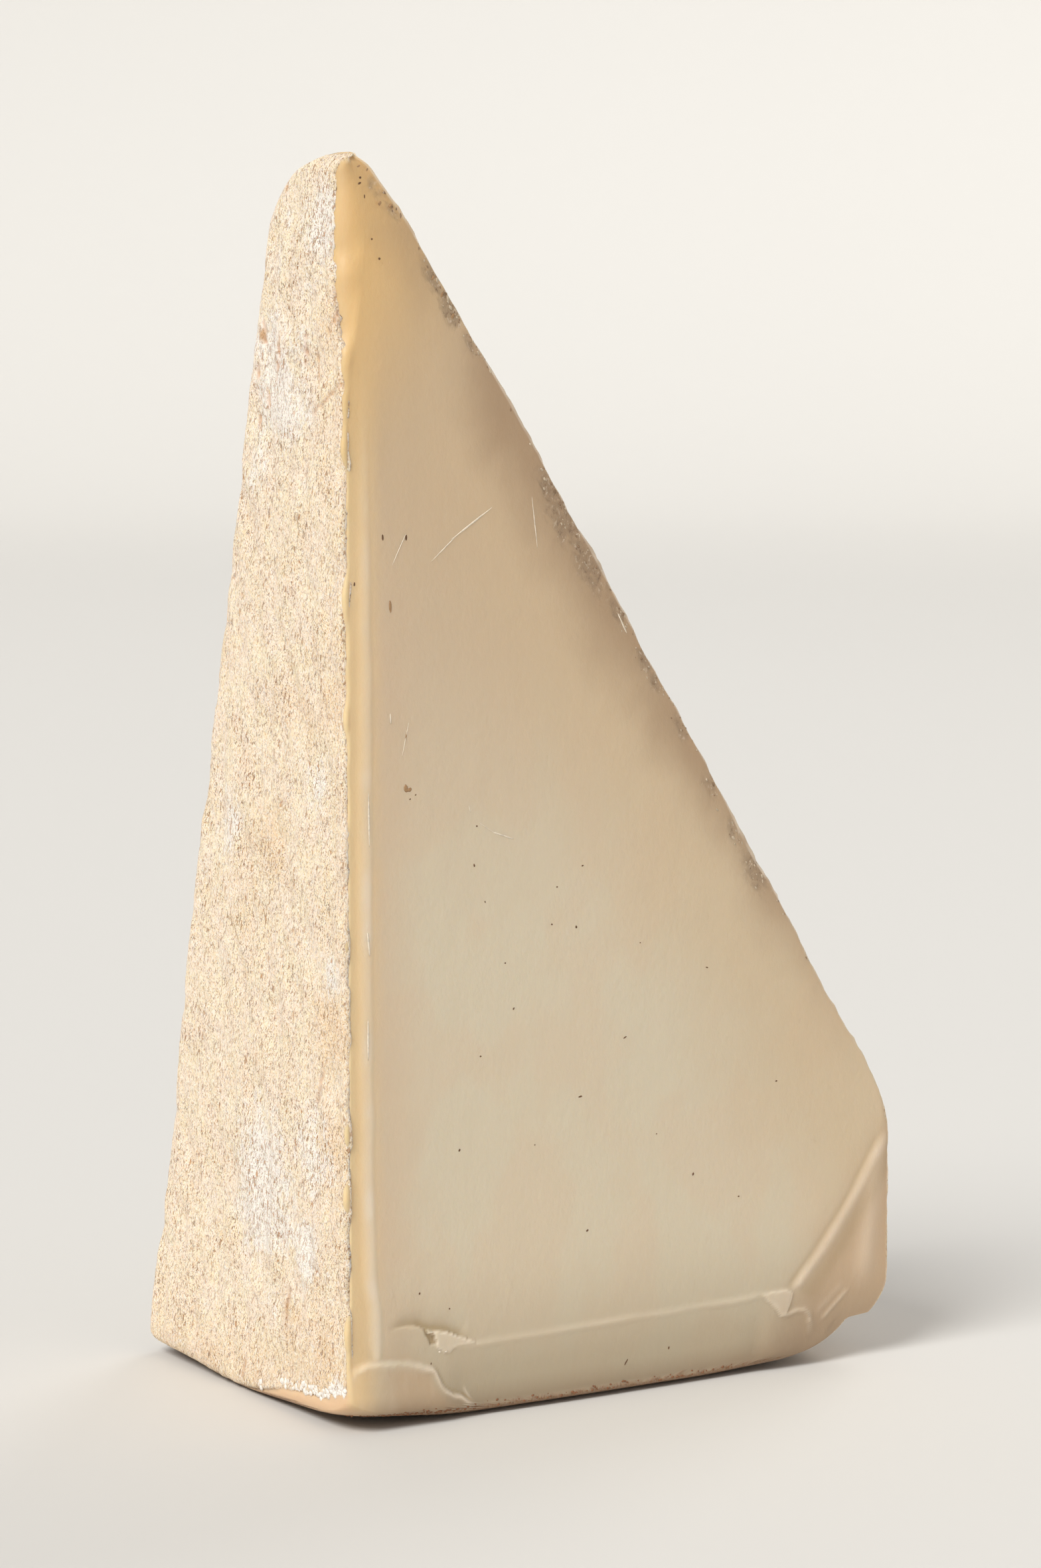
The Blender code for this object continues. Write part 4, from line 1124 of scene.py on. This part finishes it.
def make_crumbs(count, seed):
    """Flat crumbs along the trimmed edge, thicker in its mouldy patches: a pale set and a brown one."""
    chance = random.Random(seed)
    pale, brown = [], []
    for _ in range(count):
        if chance.random() < 0.8:
            _, patch_z, reach, strength = chance.choice(MOULD_PATCHES)
            if chance.random() > strength:
                continue
            z = patch_z + chance.gauss(0.0, 0.8 * reach)
            inward = abs(chance.gauss(0.0, 0.6 * reach)) + 0.3
        else:
            z = chance.uniform(TRIM_FOOT_Z + 8.0, CRUMBS_SPREAD_TO)
            inward = chance.uniform(0.3, 0.9)
        z = min(z, CRUMBS_TOP)
        size = chance.uniform(0.14, 0.30) if chance.random() < 0.85 else chance.uniform(0.30, 0.55)
        x = far_side(z) + min(trimmed_relief(0.0, z), 0.0) - inward
        facing = (0.8 * max(1.0 - inward / TRIM_EDGE_RADIUS, 0.0), -1.0, 0.0)
        length, width = size * chance.uniform(1.0, 1.9), size * chance.uniform(0.6, 1.0)
        lean = math.radians(chance.uniform(95.0, 145.0))
        shape = lens(cut_place(x, z), length, width, 0.03 + 0.08 * size, lean, facing)
        (pale if chance.random() < 0.5 else brown).append(shape)
    return gather(pale), gather(brown)


def make_foot_crumbs(count, seed):
    """Chalky lumps where the rind breaks off above the peeled foot, and grains along the heel's edge."""
    chance = random.Random(seed + 1)
    rind_lumps, grains = [], []
    for _ in range(count):
        y = abs(chance.gauss(0.0, 9.0))
        if not 0.8 < y < RIND_PEEL_TO_Y:
            continue
        z = rind_foot(y) + chance.uniform(0.05, 1.1)
        size = chance.uniform(0.3, 0.75)
        at, lean = (rind_profile(y, z) + 0.1, y, z), chance.uniform(0.0, 3.0)
        rind_lumps.append(lens(at, size * 1.2, size, 0.32 * size, lean, turn=(-1.0, 0.0, 0.0)))
    for _ in range(count):
        x = chance.uniform(2.0, 18.0) if chance.random() < 0.5 else chance.uniform(2.0, 60.0)
        z = 0.35 + abs(chance.gauss(0.0, 0.25))
        size = chance.uniform(0.10, 0.30)
        grains.append(lens(cut_place(x, z), size * 1.6, size, 0.35 * size, chance.uniform(-0.3, 0.3)))
    return gather(rind_lumps), gather(grains)


# Materials

class Nodes:
    """Short ways to add and join the nodes of one material."""

    def __init__(self, name):
        self.material = bpy.data.materials.new(name)
        self.material.use_nodes = True
        self.tree = self.material.node_tree
        self.shader = self.tree.nodes["Principled BSDF"]
        self.place = self.add("ShaderNodeTexCoord").outputs["Object"]

    def add(self, kind, **settings):
        node = self.tree.nodes.new(kind)
        for key, value in settings.items():
            setattr(node, key, value)
        return node

    def join(self, value, socket):
        if isinstance(value, bpy.types.NodeSocket):
            self.tree.links.new(value, socket)
        else:
            socket.default_value = value

    def finish(self, inputs):
        """Set the shader's inputs by name, each to a value or to a node's output."""
        for name, value in inputs.items():
            self.join(value, self.shader.inputs[name])
        return self.material

    def math(self, operation, a, b=0.0, clamp=False):
        node = self.add("ShaderNodeMath", operation=operation, use_clamp=clamp)
        self.join(a, node.inputs[0])
        self.join(b, node.inputs[1])
        return node.outputs[0]

    def plus(self, a, b, clamp=False):
        return self.math("ADD", a, b, clamp)

    def times(self, *values):
        result = values[0]
        for value in values[1:]:
            result = self.math("MULTIPLY", result, value)
        return result

    def swing(self, value, size):
        """Noise turned into a swing about zero."""
        return self.times(self.math("SUBTRACT", value, 0.5), size)

    def step(self, value, low, high):
        """0 below low, 1 above high, smooth between; low may be the larger."""
        node = self.add("ShaderNodeMapRange", interpolation_type="SMOOTHSTEP")
        flip = low > high
        self.join(value, node.inputs["Value"])
        node.inputs["From Min"].default_value = min(low, high)
        node.inputs["From Max"].default_value = max(low, high)
        node.inputs["To Min"].default_value = 1.0 if flip else 0.0
        node.inputs["To Max"].default_value = 0.0 if flip else 1.0
        return node.outputs["Result"]

    def share(self, value, low, high, most):
        """A step that rises from 0 to most."""
        return self.times(self.step(value, low, high), most)

    def mix(self, factor, a, b):
        node = self.add("ShaderNodeMix", data_type="RGBA")
        self.join(factor, node.inputs["Factor"])
        for value, socket in ((a, node.inputs["A"]), (b, node.inputs["B"])):
            for match in (s for s in node.inputs if s.name == socket.name and s.type == "RGBA"):
                self.join(value if isinstance(value, bpy.types.NodeSocket) else (*value[:3], 1.0), match)
        return next(s for s in node.outputs if s.type == "RGBA")

    def stain(self, colour, stains):
        """A colour with stains mixed over it in turn, each an amount and its colour."""
        for amount, tint in stains:
            colour = self.mix(amount, colour, tint)
        return colour

    def along(self, direction, offset=0.0):
        """Distance in millimetres along a direction, from a plane at the offset from the upright edge."""
        dot = self.add("ShaderNodeVectorMath", operation="DOT_PRODUCT")
        self.join(self.place, dot.inputs[0])
        dot.inputs[1].default_value = [d / MM for d in direction]
        edge = direction[0] * EDGE_X + direction[1] * EDGE_Y + direction[2] * EDGE_Z
        return self.math("SUBTRACT", dot.outputs["Value"], edge + offset)

    def stretched(self, scale, tilt=0.0):
        """The place, leaned about the x axis and then scaled along each axis; scale is per millimetre."""
        place = self.place
        if tilt:
            lean = self.add("ShaderNodeMapping")
            self.join(place, lean.inputs["Vector"])
            lean.inputs["Rotation"].default_value = (tilt, 0.0, 0.0)
            place = lean.outputs["Vector"]
        node = self.add("ShaderNodeMapping")
        self.join(place, node.inputs["Vector"])
        node.inputs["Scale"].default_value = [s / MM for s in scale]
        return node.outputs["Vector"]

    def noise(self, scale, detail=3.0, roughness=0.55, distortion=0.0, shift=0.0, tilt=0.0):
        """Noise from 0 to 1, finer with a larger scale; the shift makes its pattern its own."""
        node = self.add("ShaderNodeTexNoise")
        vector = self.stretched(scale, tilt)
        if shift:
            move = self.add("ShaderNodeVectorMath", operation="ADD")
            self.join(vector, move.inputs[0])
            move.inputs[1].default_value = (shift, shift * 0.7, -shift)
            vector = move.outputs[0]
        self.join(vector, node.inputs["Vector"])
        node.inputs["Scale"].default_value = 1.0
        node.inputs["Detail"].default_value = detail
        node.inputs["Roughness"].default_value = roughness
        node.inputs["Distortion"].default_value = distortion
        return node.outputs["Fac"]

    def mark(self, name):
        return self.add("ShaderNodeAttribute", attribute_name=name).outputs["Fac"]

    def bump(self, height, distance, normal=None):
        node = self.add("ShaderNodeBump")
        self.join(height, node.inputs["Height"])
        node.inputs["Distance"].default_value = distance
        node.inputs["Strength"].default_value = 1.0
        if normal is not None:
            self.join(normal, node.inputs["Normal"])
        return node.outputs["Normal"]


def rind_finish(nodes, look):
    """Colour and height of the rind: cream, chalky bloom and tan patches, short dense pits, pale grains."""
    y, z = nodes.along((0.0, 1.0, 0.0)), nodes.along((0.0, 0.0, 1.0))
    cloud = nodes.noise((0.16, 0.16, 0.12), detail=4.0, roughness=0.6, distortion=0.4)
    blotch = nodes.noise((0.60, 0.60, 0.36), detail=5.0, roughness=0.72, shift=29.0)
    fine = nodes.noise((1.9, 1.9, 1.1), detail=4.0, roughness=0.7, distortion=0.6, shift=63.0)
    streak = nodes.noise((3.0, 3.0, 1.15), detail=4.0, roughness=0.68, distortion=0.8, shift=5.0, tilt=-0.2)
    speck = nodes.noise((6.4, 6.4, 3.6), detail=2.0, roughness=0.6, shift=71.0)
    grain = nodes.noise((4.6, 4.6, 2.8), detail=3.0, roughness=0.7, shift=41.0)
    blush = nodes.noise((0.28, 0.28, 0.2), detail=4.0, roughness=0.65, shift=83.0)
    bloom_mark, ochre_mark, rust, crack = (nodes.mark(name) for name in RIND_MARKS)
    mottle = nodes.swing(blotch, 1.6)
    bloom = nodes.step(nodes.plus(bloom_mark, nodes.plus(mottle, nodes.swing(fine, 2.2))), 0.30, 0.80)
    patches = nodes.plus(nodes.plus(ochre_mark, mottle), nodes.swing(cloud, 2.2))
    by_place = nodes.plus(nodes.share(z, 10.0, 2.0, 0.45), nodes.share(y, 7.0, 1.0, 0.3))
    tan = nodes.plus(nodes.step(patches, -0.1, 1.0), by_place, clamp=True)
    dense = nodes.plus(nodes.share(cloud, 0.38, 0.60, 0.45), 0.55)
    pitted = nodes.plus(streak, nodes.share(bloom_mark, 0.2, 0.7, 0.022))
    pits = nodes.times(nodes.step(pitted, 0.575, 0.625), dense)
    specks = nodes.times(nodes.step(speck, 0.585, 0.635), nodes.times(dense, 0.8))
    dark = nodes.math("MAXIMUM", nodes.math("MAXIMUM", pits, specks), crack, clamp=True)
    shallow = nodes.plus(nodes.step(fine, 0.40, 0.60), nodes.times(bloom, 0.8), clamp=True)
    colour = nodes.mix(nodes.step(blush, 0.42, 0.58), look.cream, look.blush)
    colour = nodes.stain(colour, (
        (nodes.times(tan, 0.6), look.ochre),
        (nodes.share(fine, 0.48, 0.60, 0.42), look.ochre),
        (nodes.times(bloom, 0.85), look.bloom),
        (nodes.share(grain, 0.50, 0.58, 0.6), look.bloom),
        (nodes.share(nodes.plus(rust, mottle), 0.35, 1.0, 0.75), look.rust),
        (nodes.times(dark, 0.85), nodes.mix(shallow, look.pit, look.warm_pit)),
    ))
    height = nodes.math("SUBTRACT", nodes.times(grain, 1.2), nodes.times(dark, 1.1))
    return colour, nodes.plus(height, nodes.times(fine, 0.9))


def paste_finish(nodes, look):
    """Colour of the cut cheese by place: yellower by the rind and at the tip, with painted shade along the
    trimmed edge, the far edge and the foot.
    """
    x, z = nodes.along((1.0, 0.0, 0.0)), nodes.along((0.0, 0.0, 1.0))
    from_trim = nodes.times(nodes.along(TRIM_FACING, TRIM_REACH), -1.0)
    cloud = nodes.noise((0.045, 0.045, 0.035), detail=3.0, roughness=0.6, shift=3.0)
    patch = nodes.noise((0.09, 0.09, 0.06), detail=2.0, roughness=0.5, shift=23.0)
    mottle = nodes.noise((0.35, 0.35, 0.25), detail=4.0, roughness=0.65, shift=7.0)
    flecks = nodes.noise((1.5, 1.5, 1.1), detail=3.0, roughness=0.7, distortion=0.5, shift=37.0)
    rosy, veil = nodes.mark("rosy"), nodes.swing(cloud, 20.0)
    near = nodes.step(nodes.plus(x, nodes.swing(mottle, 1.5)), 6.5, 2.2)
    from_tip = nodes.plus(nodes.math("SUBTRACT", z, nodes.times(x, 1.7)), nodes.times(veil, 0.4))
    # Painted shade in a ragged band along the trimmed edge, less of it at the tip
    ragged_from_trim = nodes.plus(from_trim, nodes.swing(cloud, 16.0))
    ragged_from_trim = nodes.plus(ragged_from_trim, nodes.share(z, 90.0, 50.0, 4.0))
    ragged_from_trim = nodes.plus(ragged_from_trim, nodes.share(z, 120.0, 145.0, 4.5))
    shaded = nodes.times(nodes.step(ragged_from_trim, 11.0, 0.5), nodes.step(z, 34.0, 70.0))
    shaded = nodes.times(shaded, nodes.plus(nodes.share(z, 156.0, 144.0, 0.52), 0.42))
    # Painted shade along the rounded far edge, above the foot
    far_edge_shade = nodes.times(nodes.step(x, 83.6, 85.4), nodes.step(z, 6.0, 12.0))
    # Painted shade: the foot colour grows stronger towards the bottom
    foot = nodes.times(nodes.step(z, 22.0, -6.0), nodes.plus(nodes.share(x, 2.0, 9.0, 0.65), 0.2))
    # The folded corner's pinkish tan, turning to the mould colour towards the bottom as painted shade
    corner = nodes.step(nodes.along((FOLD_FACING[0], 0.0, FOLD_FACING[1]), FOLD_REACH), -5.0, 6.0)
    # Painted shade along the very bottom, in the mould colour
    lowest_shade = nodes.times(nodes.step(z, 3.6, 0.2), nodes.plus(nodes.share(x, 18.0, 8.0, 0.3), 0.5))
    grey = nodes.step(nodes.plus(nodes.mark("mould"), nodes.math("SUBTRACT", mottle, 0.5)), 0.12, 0.75)
    colour = nodes.mix(nodes.share(patch, 0.47, 0.60, 0.55), look.middle, look.pink)
    colour = nodes.stain(colour, (
        (nodes.step(nodes.plus(z, veil), 55.0, 120.0), look.upper),
        (nodes.times(rosy, 0.7), look.rosy),
        # Painted shade towards the trimmed edge
        (nodes.share(nodes.plus(from_trim, veil), 30.0, 6.0, 0.6), look.trim_shade),
        (near, look.strip),
        (nodes.step(from_tip, 104.0, 146.0), look.tip),
        (shaded, look.shaded),
        (nodes.times(far_edge_shade, 0.6), look.shaded),
        (foot, look.foot),
        (nodes.times(rosy, nodes.step(z, 9.0, 7.0), 0.6), look.folded),
        (nodes.times(corner, 0.85), nodes.mix(nodes.step(z, 13.0, -1.0), look.folded, look.mould)),
        (lowest_shade, look.mould),
        (nodes.times(grey, 0.62), look.mould),
        (nodes.times(grey, nodes.share(flecks, 0.56, 0.68, 0.6)), look.fleck),
        (nodes.times(grey, nodes.share(flecks, 0.44, 0.32, 0.55)), look.pale_and_highlight),
        # The pressed mark: pale tone and painted highlight on the raised parts
        (nodes.times(nodes.mark("pale_and_highlight"), 0.72), look.pale_and_highlight),
        # Painted shade in creases, grooves, the crack and the chip
        (nodes.times(nodes.mark("shade"), 0.75), look.shade),
    ))
    height = nodes.plus(nodes.times(mottle, 0.5), nodes.noise((1.4, 1.4, 0.9), detail=3.0, shift=19.0))
    return colour, nodes.plus(height, nodes.times(grey, flecks, -3.0))


def paste_material(paste, rind):
    nodes = Nodes("cut_paste")
    colour, height = paste_finish(nodes, paste)
    rind_colour, rind_height = rind_finish(nodes, rind)
    crust = nodes.mark("bare_rind")
    heel = nodes.share(nodes.along((0.0, 0.0, 1.0)), 1.5, 0.9, 0.75)
    colour = nodes.mix(nodes.mark("peel"), colour, rind.peel)
    smooth = nodes.bump(height, PASTE_GRAIN_DEPTH)
    return nodes.finish({
        "Base Color": nodes.mix(crust, colour, nodes.mix(heel, rind_colour, paste.crust)),
        "Roughness": nodes.plus(nodes.times(crust, 0.4), paste.roughness),
        "Normal": nodes.bump(nodes.times(rind_height, crust), rind.grain_depth, normal=smooth),
        "Subsurface Weight": 0.35,
        "Subsurface Radius": (1.0, 0.72, 0.45),
        "Subsurface Scale": paste.scatter,
        "Specular IOR Level": 0.4,
    })


def rind_material(rind):
    nodes = Nodes("dry_rind")
    colour, height = rind_finish(nodes, rind)
    return nodes.finish({
        "Base Color": colour,
        "Normal": nodes.bump(height, rind.grain_depth),
        "Roughness": 0.85,
        "Subsurface Weight": 0.15,
        "Subsurface Radius": (1.0, 0.7, 0.4),
        "Subsurface Scale": 0.0008,
        "Specular IOR Level": 0.25,
    })


def floor_material(colour):
    nodes = Nodes("pale_floor")
    shade = nodes.noise((0.004, 0.004, 0.004), detail=2.0)
    return nodes.finish({
        "Base Color": nodes.mix(nodes.times(shade, 0.06), colour, (0.6, 0.6, 0.6)),
        "Roughness": 0.7,
    })


def plain_material(name, colour, roughness, grain):
    """Small crumbs and specks: one colour with a little mottling and grain."""
    nodes = Nodes(name)
    mottle = nodes.noise((1.6, 1.6, 1.6), detail=3.0, roughness=0.7)
    darker = tuple(0.6 * channel for channel in colour)
    return nodes.finish({
        "Base Color": nodes.mix(nodes.share(mottle, 0.4, 0.65, 0.5), colour, darker),
        "Normal": nodes.bump(nodes.noise((6.0, 6.0, 6.0)), grain),
        "Roughness": roughness,
    })


# Operators

class CHEESE_OT_paste(Operator):
    """Make the paste: the body of the wedge with its cut faces, trimmed face, heel and press marks."""
    bl_idname = "cheese.paste"
    bl_label = "Make Paste"

    def execute(self, context):
        paste, rind = context.scene.cheese_paste, context.scene.cheese_rind
        points, faces, marks = make_paste(rind.thickness / MM * SKIN_SHARE)
        piece = new_piece("cut_paste", points, faces, paste_material(paste, rind))
        add_marks(piece, marks)
        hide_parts(NODE)
        return {"FINISHED"}


class CHEESE_OT_rind(Operator):
    """Make the dry, pitted rind layer on the near side."""
    bl_idname = "cheese.rind"
    bl_label = "Make Rind"

    def execute(self, context):
        look = context.scene.cheese_rind
        points, faces, marks = make_rind(look.thickness / MM)
        piece = new_piece("side_rind", points, faces, rind_material(look))
        add_marks(piece, marks)
        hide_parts(NODE)
        return {"FINISHED"}


class CHEESE_OT_crumbs(Operator):
    """Scatter crumbs and mould along the trimmed edge, at the broken rind and along the heel."""
    bl_idname = "cheese.crumbs"
    bl_label = "Scatter Crumbs"

    def execute(self, context):
        look, chalk = context.scene.cheese_crumbs, context.scene.cheese_rind.bloom
        pale, brown = make_crumbs(look.crumb_count, look.seed)
        lumps, grains = make_foot_crumbs(look.foot_count, look.seed)
        new_piece("edge_crumbs", *pale, plain_material("pale_crumb", look.crumb, 0.8, CRUMB_GRAIN))
        new_piece("edge_mould", *brown, plain_material("brown_crumb", look.mould, 0.85, CRUMB_GRAIN))
        new_piece("rind_lumps", *lumps, plain_material("chalk_crumb", chalk, 0.9, CRUMB_GRAIN))
        new_piece("heel_grains", *grains, plain_material("heel_grain", look.grain, 0.7, CRUMB_GRAIN))
        return {"FINISHED"}


class CHEESE_OT_marks(Operator):
    """Add the small marks of the cut face: dark specks and ticks, pale scratches and glints."""
    bl_idname = "cheese.marks"
    bl_label = "Add Face Marks"

    def execute(self, context):
        look = context.scene.cheese_crumbs
        dark = plain_material("dark_speck", look.speck, 0.6, SPECK_GRAIN)
        new_piece("face_specks", *make_specks(SPECKS), dark)
        brown = plain_material("brown_mark", look.brown, 0.5, SPECK_GRAIN)
        new_piece("brown_marks", *make_specks(BROWN_SPECKS), brown)
        # The glints among the pale marks are painted highlights
        pale = plain_material("pale_scratch_and_glint", look.scratch_and_glint, 0.35, SCRATCH_AND_GLINT_GRAIN)
        new_piece("face_scratches_and_glints", *make_scratches_and_glints(), pale)
        return {"FINISHED"}


class CHEESE_OT_stage(Operator):
    """Set the pale floor, the soft lights and the camera."""
    bl_idname = "cheese.stage"
    bl_label = "Set Stage"

    def execute(self, context):
        scene = context.scene
        look = scene.cheese_studio
        scene.view_settings.view_transform = "Standard"
        add_floor(look.floor)
        add_sky(scene, look.sky)
        add_lights(look)
        add_camera(scene, look)
        return {"FINISHED"}


def add_floor(colour):
    """A round floor that curves up into a low wall far away, so that no horizon shows."""
    profile = [(FLOOR_REACH * i / 6, 0.0) for i in range(1, 7)]
    profile += [(FLOOR_REACH + FLOOR_CURVE * math.sin(a), FLOOR_CURVE * (1.0 - math.cos(a)))
                for a in (math.radians(4.5 * i) for i in range(1, 21))]
    profile.append((FLOOR_REACH + FLOOR_CURVE, WALL_HEIGHT))
    turns = [math.tau * i / FLOOR_POINTS for i in range(FLOOR_POINTS)]
    points = [(0.0, 0.0, BOX_LOW.z)]
    for radius, height in profile:
        points += [(radius * math.cos(a), radius * math.sin(a), BOX_LOW.z + height) for a in turns]
    faces = [(0, 1 + i, 1 + (i + 1) % FLOOR_POINTS) for i in range(FLOOR_POINTS)]
    for ring in range(len(profile) - 1):
        inner, outer = 1 + ring * FLOOR_POINTS, 1 + (ring + 1) * FLOOR_POINTS
        for i in range(FLOOR_POINTS):
            j = (i + 1) % FLOOR_POINTS
            faces.append((inner + i, outer + i, outer + j, inner + j))
    mesh = bpy.data.meshes.new("floor")
    mesh.from_pydata(points, [], faces)
    mesh.shade_smooth()
    mesh.materials.append(floor_material(colour))
    floor = bpy.data.objects.new("floor", mesh)
    bpy.context.scene.collection.objects.link(floor)


def add_sky(scene, strength):
    world = bpy.data.worlds.new("soft_room")
    world.use_nodes = True
    background = world.node_tree.nodes["Background"]
    background.inputs["Color"].default_value = (1.0, 0.99, 0.975, 1.0)
    background.inputs["Strength"].default_value = strength
    scene.world = world


def add_lights(look):
    """Wide, soft lights from afar, so that the floor is lit evenly too."""
    lights = (
        ("key", look.key, -70.0, 45.0, 28.0, (1.0, 0.985, 0.96)),
        ("fill", look.fill, 25.0, 30.0, 60.0, (1.0, 0.99, 0.98)),
        ("rim", look.rim, 120.0, 35.0, 25.0, (1.0, 0.99, 0.98)),
    )
    for name, strength, azimuth, height, width, colour in lights:
        lamp = bpy.data.lights.new(name, "SUN")
        lamp.energy = strength
        lamp.angle = math.radians(width)
        lamp.color = colour
        holder = bpy.data.objects.new(name, lamp)
        away = direction(math.radians(azimuth), math.radians(height))
        holder.location = away
        holder.rotation_euler = away.to_track_quat("Z", "Y").to_euler()
        bpy.context.scene.collection.objects.link(holder)


def direction(azimuth, height):
    """Unit vector towards a place round the wedge; azimuth 0 is in front of the cut face."""
    level = math.cos(height)
    return Vector((math.sin(azimuth) * level, -math.cos(azimuth) * level, math.sin(height)))


def add_camera(scene, look):
    camera = bpy.data.cameras.new("camera")
    camera.lens = look.lens
    camera.sensor_width = 36.0
    camera.shift_y = CAMERA_SHIFT
    holder = bpy.data.objects.new("camera", camera)
    holder.location = [(at + edge) * MM for at, edge in zip(CAMERA_PLACE, (EDGE_X, EDGE_Y, EDGE_Z))]
    holder.rotation_euler = direction(look.azimuth, look.pitch).to_track_quat("Z", "Y").to_euler()
    scene.collection.objects.link(holder)
    scene.camera = holder


class CHEESE_PT_maker(Panel):
    """Steps that dress the wedge, in order, and their settings."""
    bl_label = "Hard Cheese Wedge"
    bl_idname = "CHEESE_PT_maker"
    bl_space_type = "VIEW_3D"
    bl_region_type = "UI"
    bl_category = "Cheese"

    def draw(self, context):
        for step in STEPS:
            self.layout.operator(step.bl_idname)
        for name, group in SETTINGS.items():
            box = self.layout.box()
            for prop in group.__annotations__:
                box.prop(getattr(context.scene, name), prop)


STEPS = (CHEESE_OT_paste, CHEESE_OT_rind, CHEESE_OT_crumbs, CHEESE_OT_marks, CHEESE_OT_stage)
SETTINGS = {
    "cheese_paste": CheesePasteLook,
    "cheese_rind": CheeseRindLook,
    "cheese_crumbs": CheeseCrumbLook,
    "cheese_studio": CheeseStudio,
}


def register():
    for name, group in SETTINGS.items():
        bpy.utils.register_class(group)
        setattr(bpy.types.Scene, name, PointerProperty(type=group))
    for thing in (*STEPS, CHEESE_PT_maker):
        bpy.utils.register_class(thing)


def unregister():
    for thing in (CHEESE_PT_maker, *reversed(STEPS)):
        bpy.utils.unregister_class(thing)
    for name, group in reversed(SETTINGS.items()):
        delattr(bpy.types.Scene, name)
        bpy.utils.unregister_class(group)


def main():
    register()
    bpy.ops.cheese.paste()
    bpy.ops.cheese.rind()
    bpy.ops.cheese.crumbs()
    bpy.ops.cheese.marks()
    bpy.ops.cheese.stage()


if __name__ == "__main__":
    main()
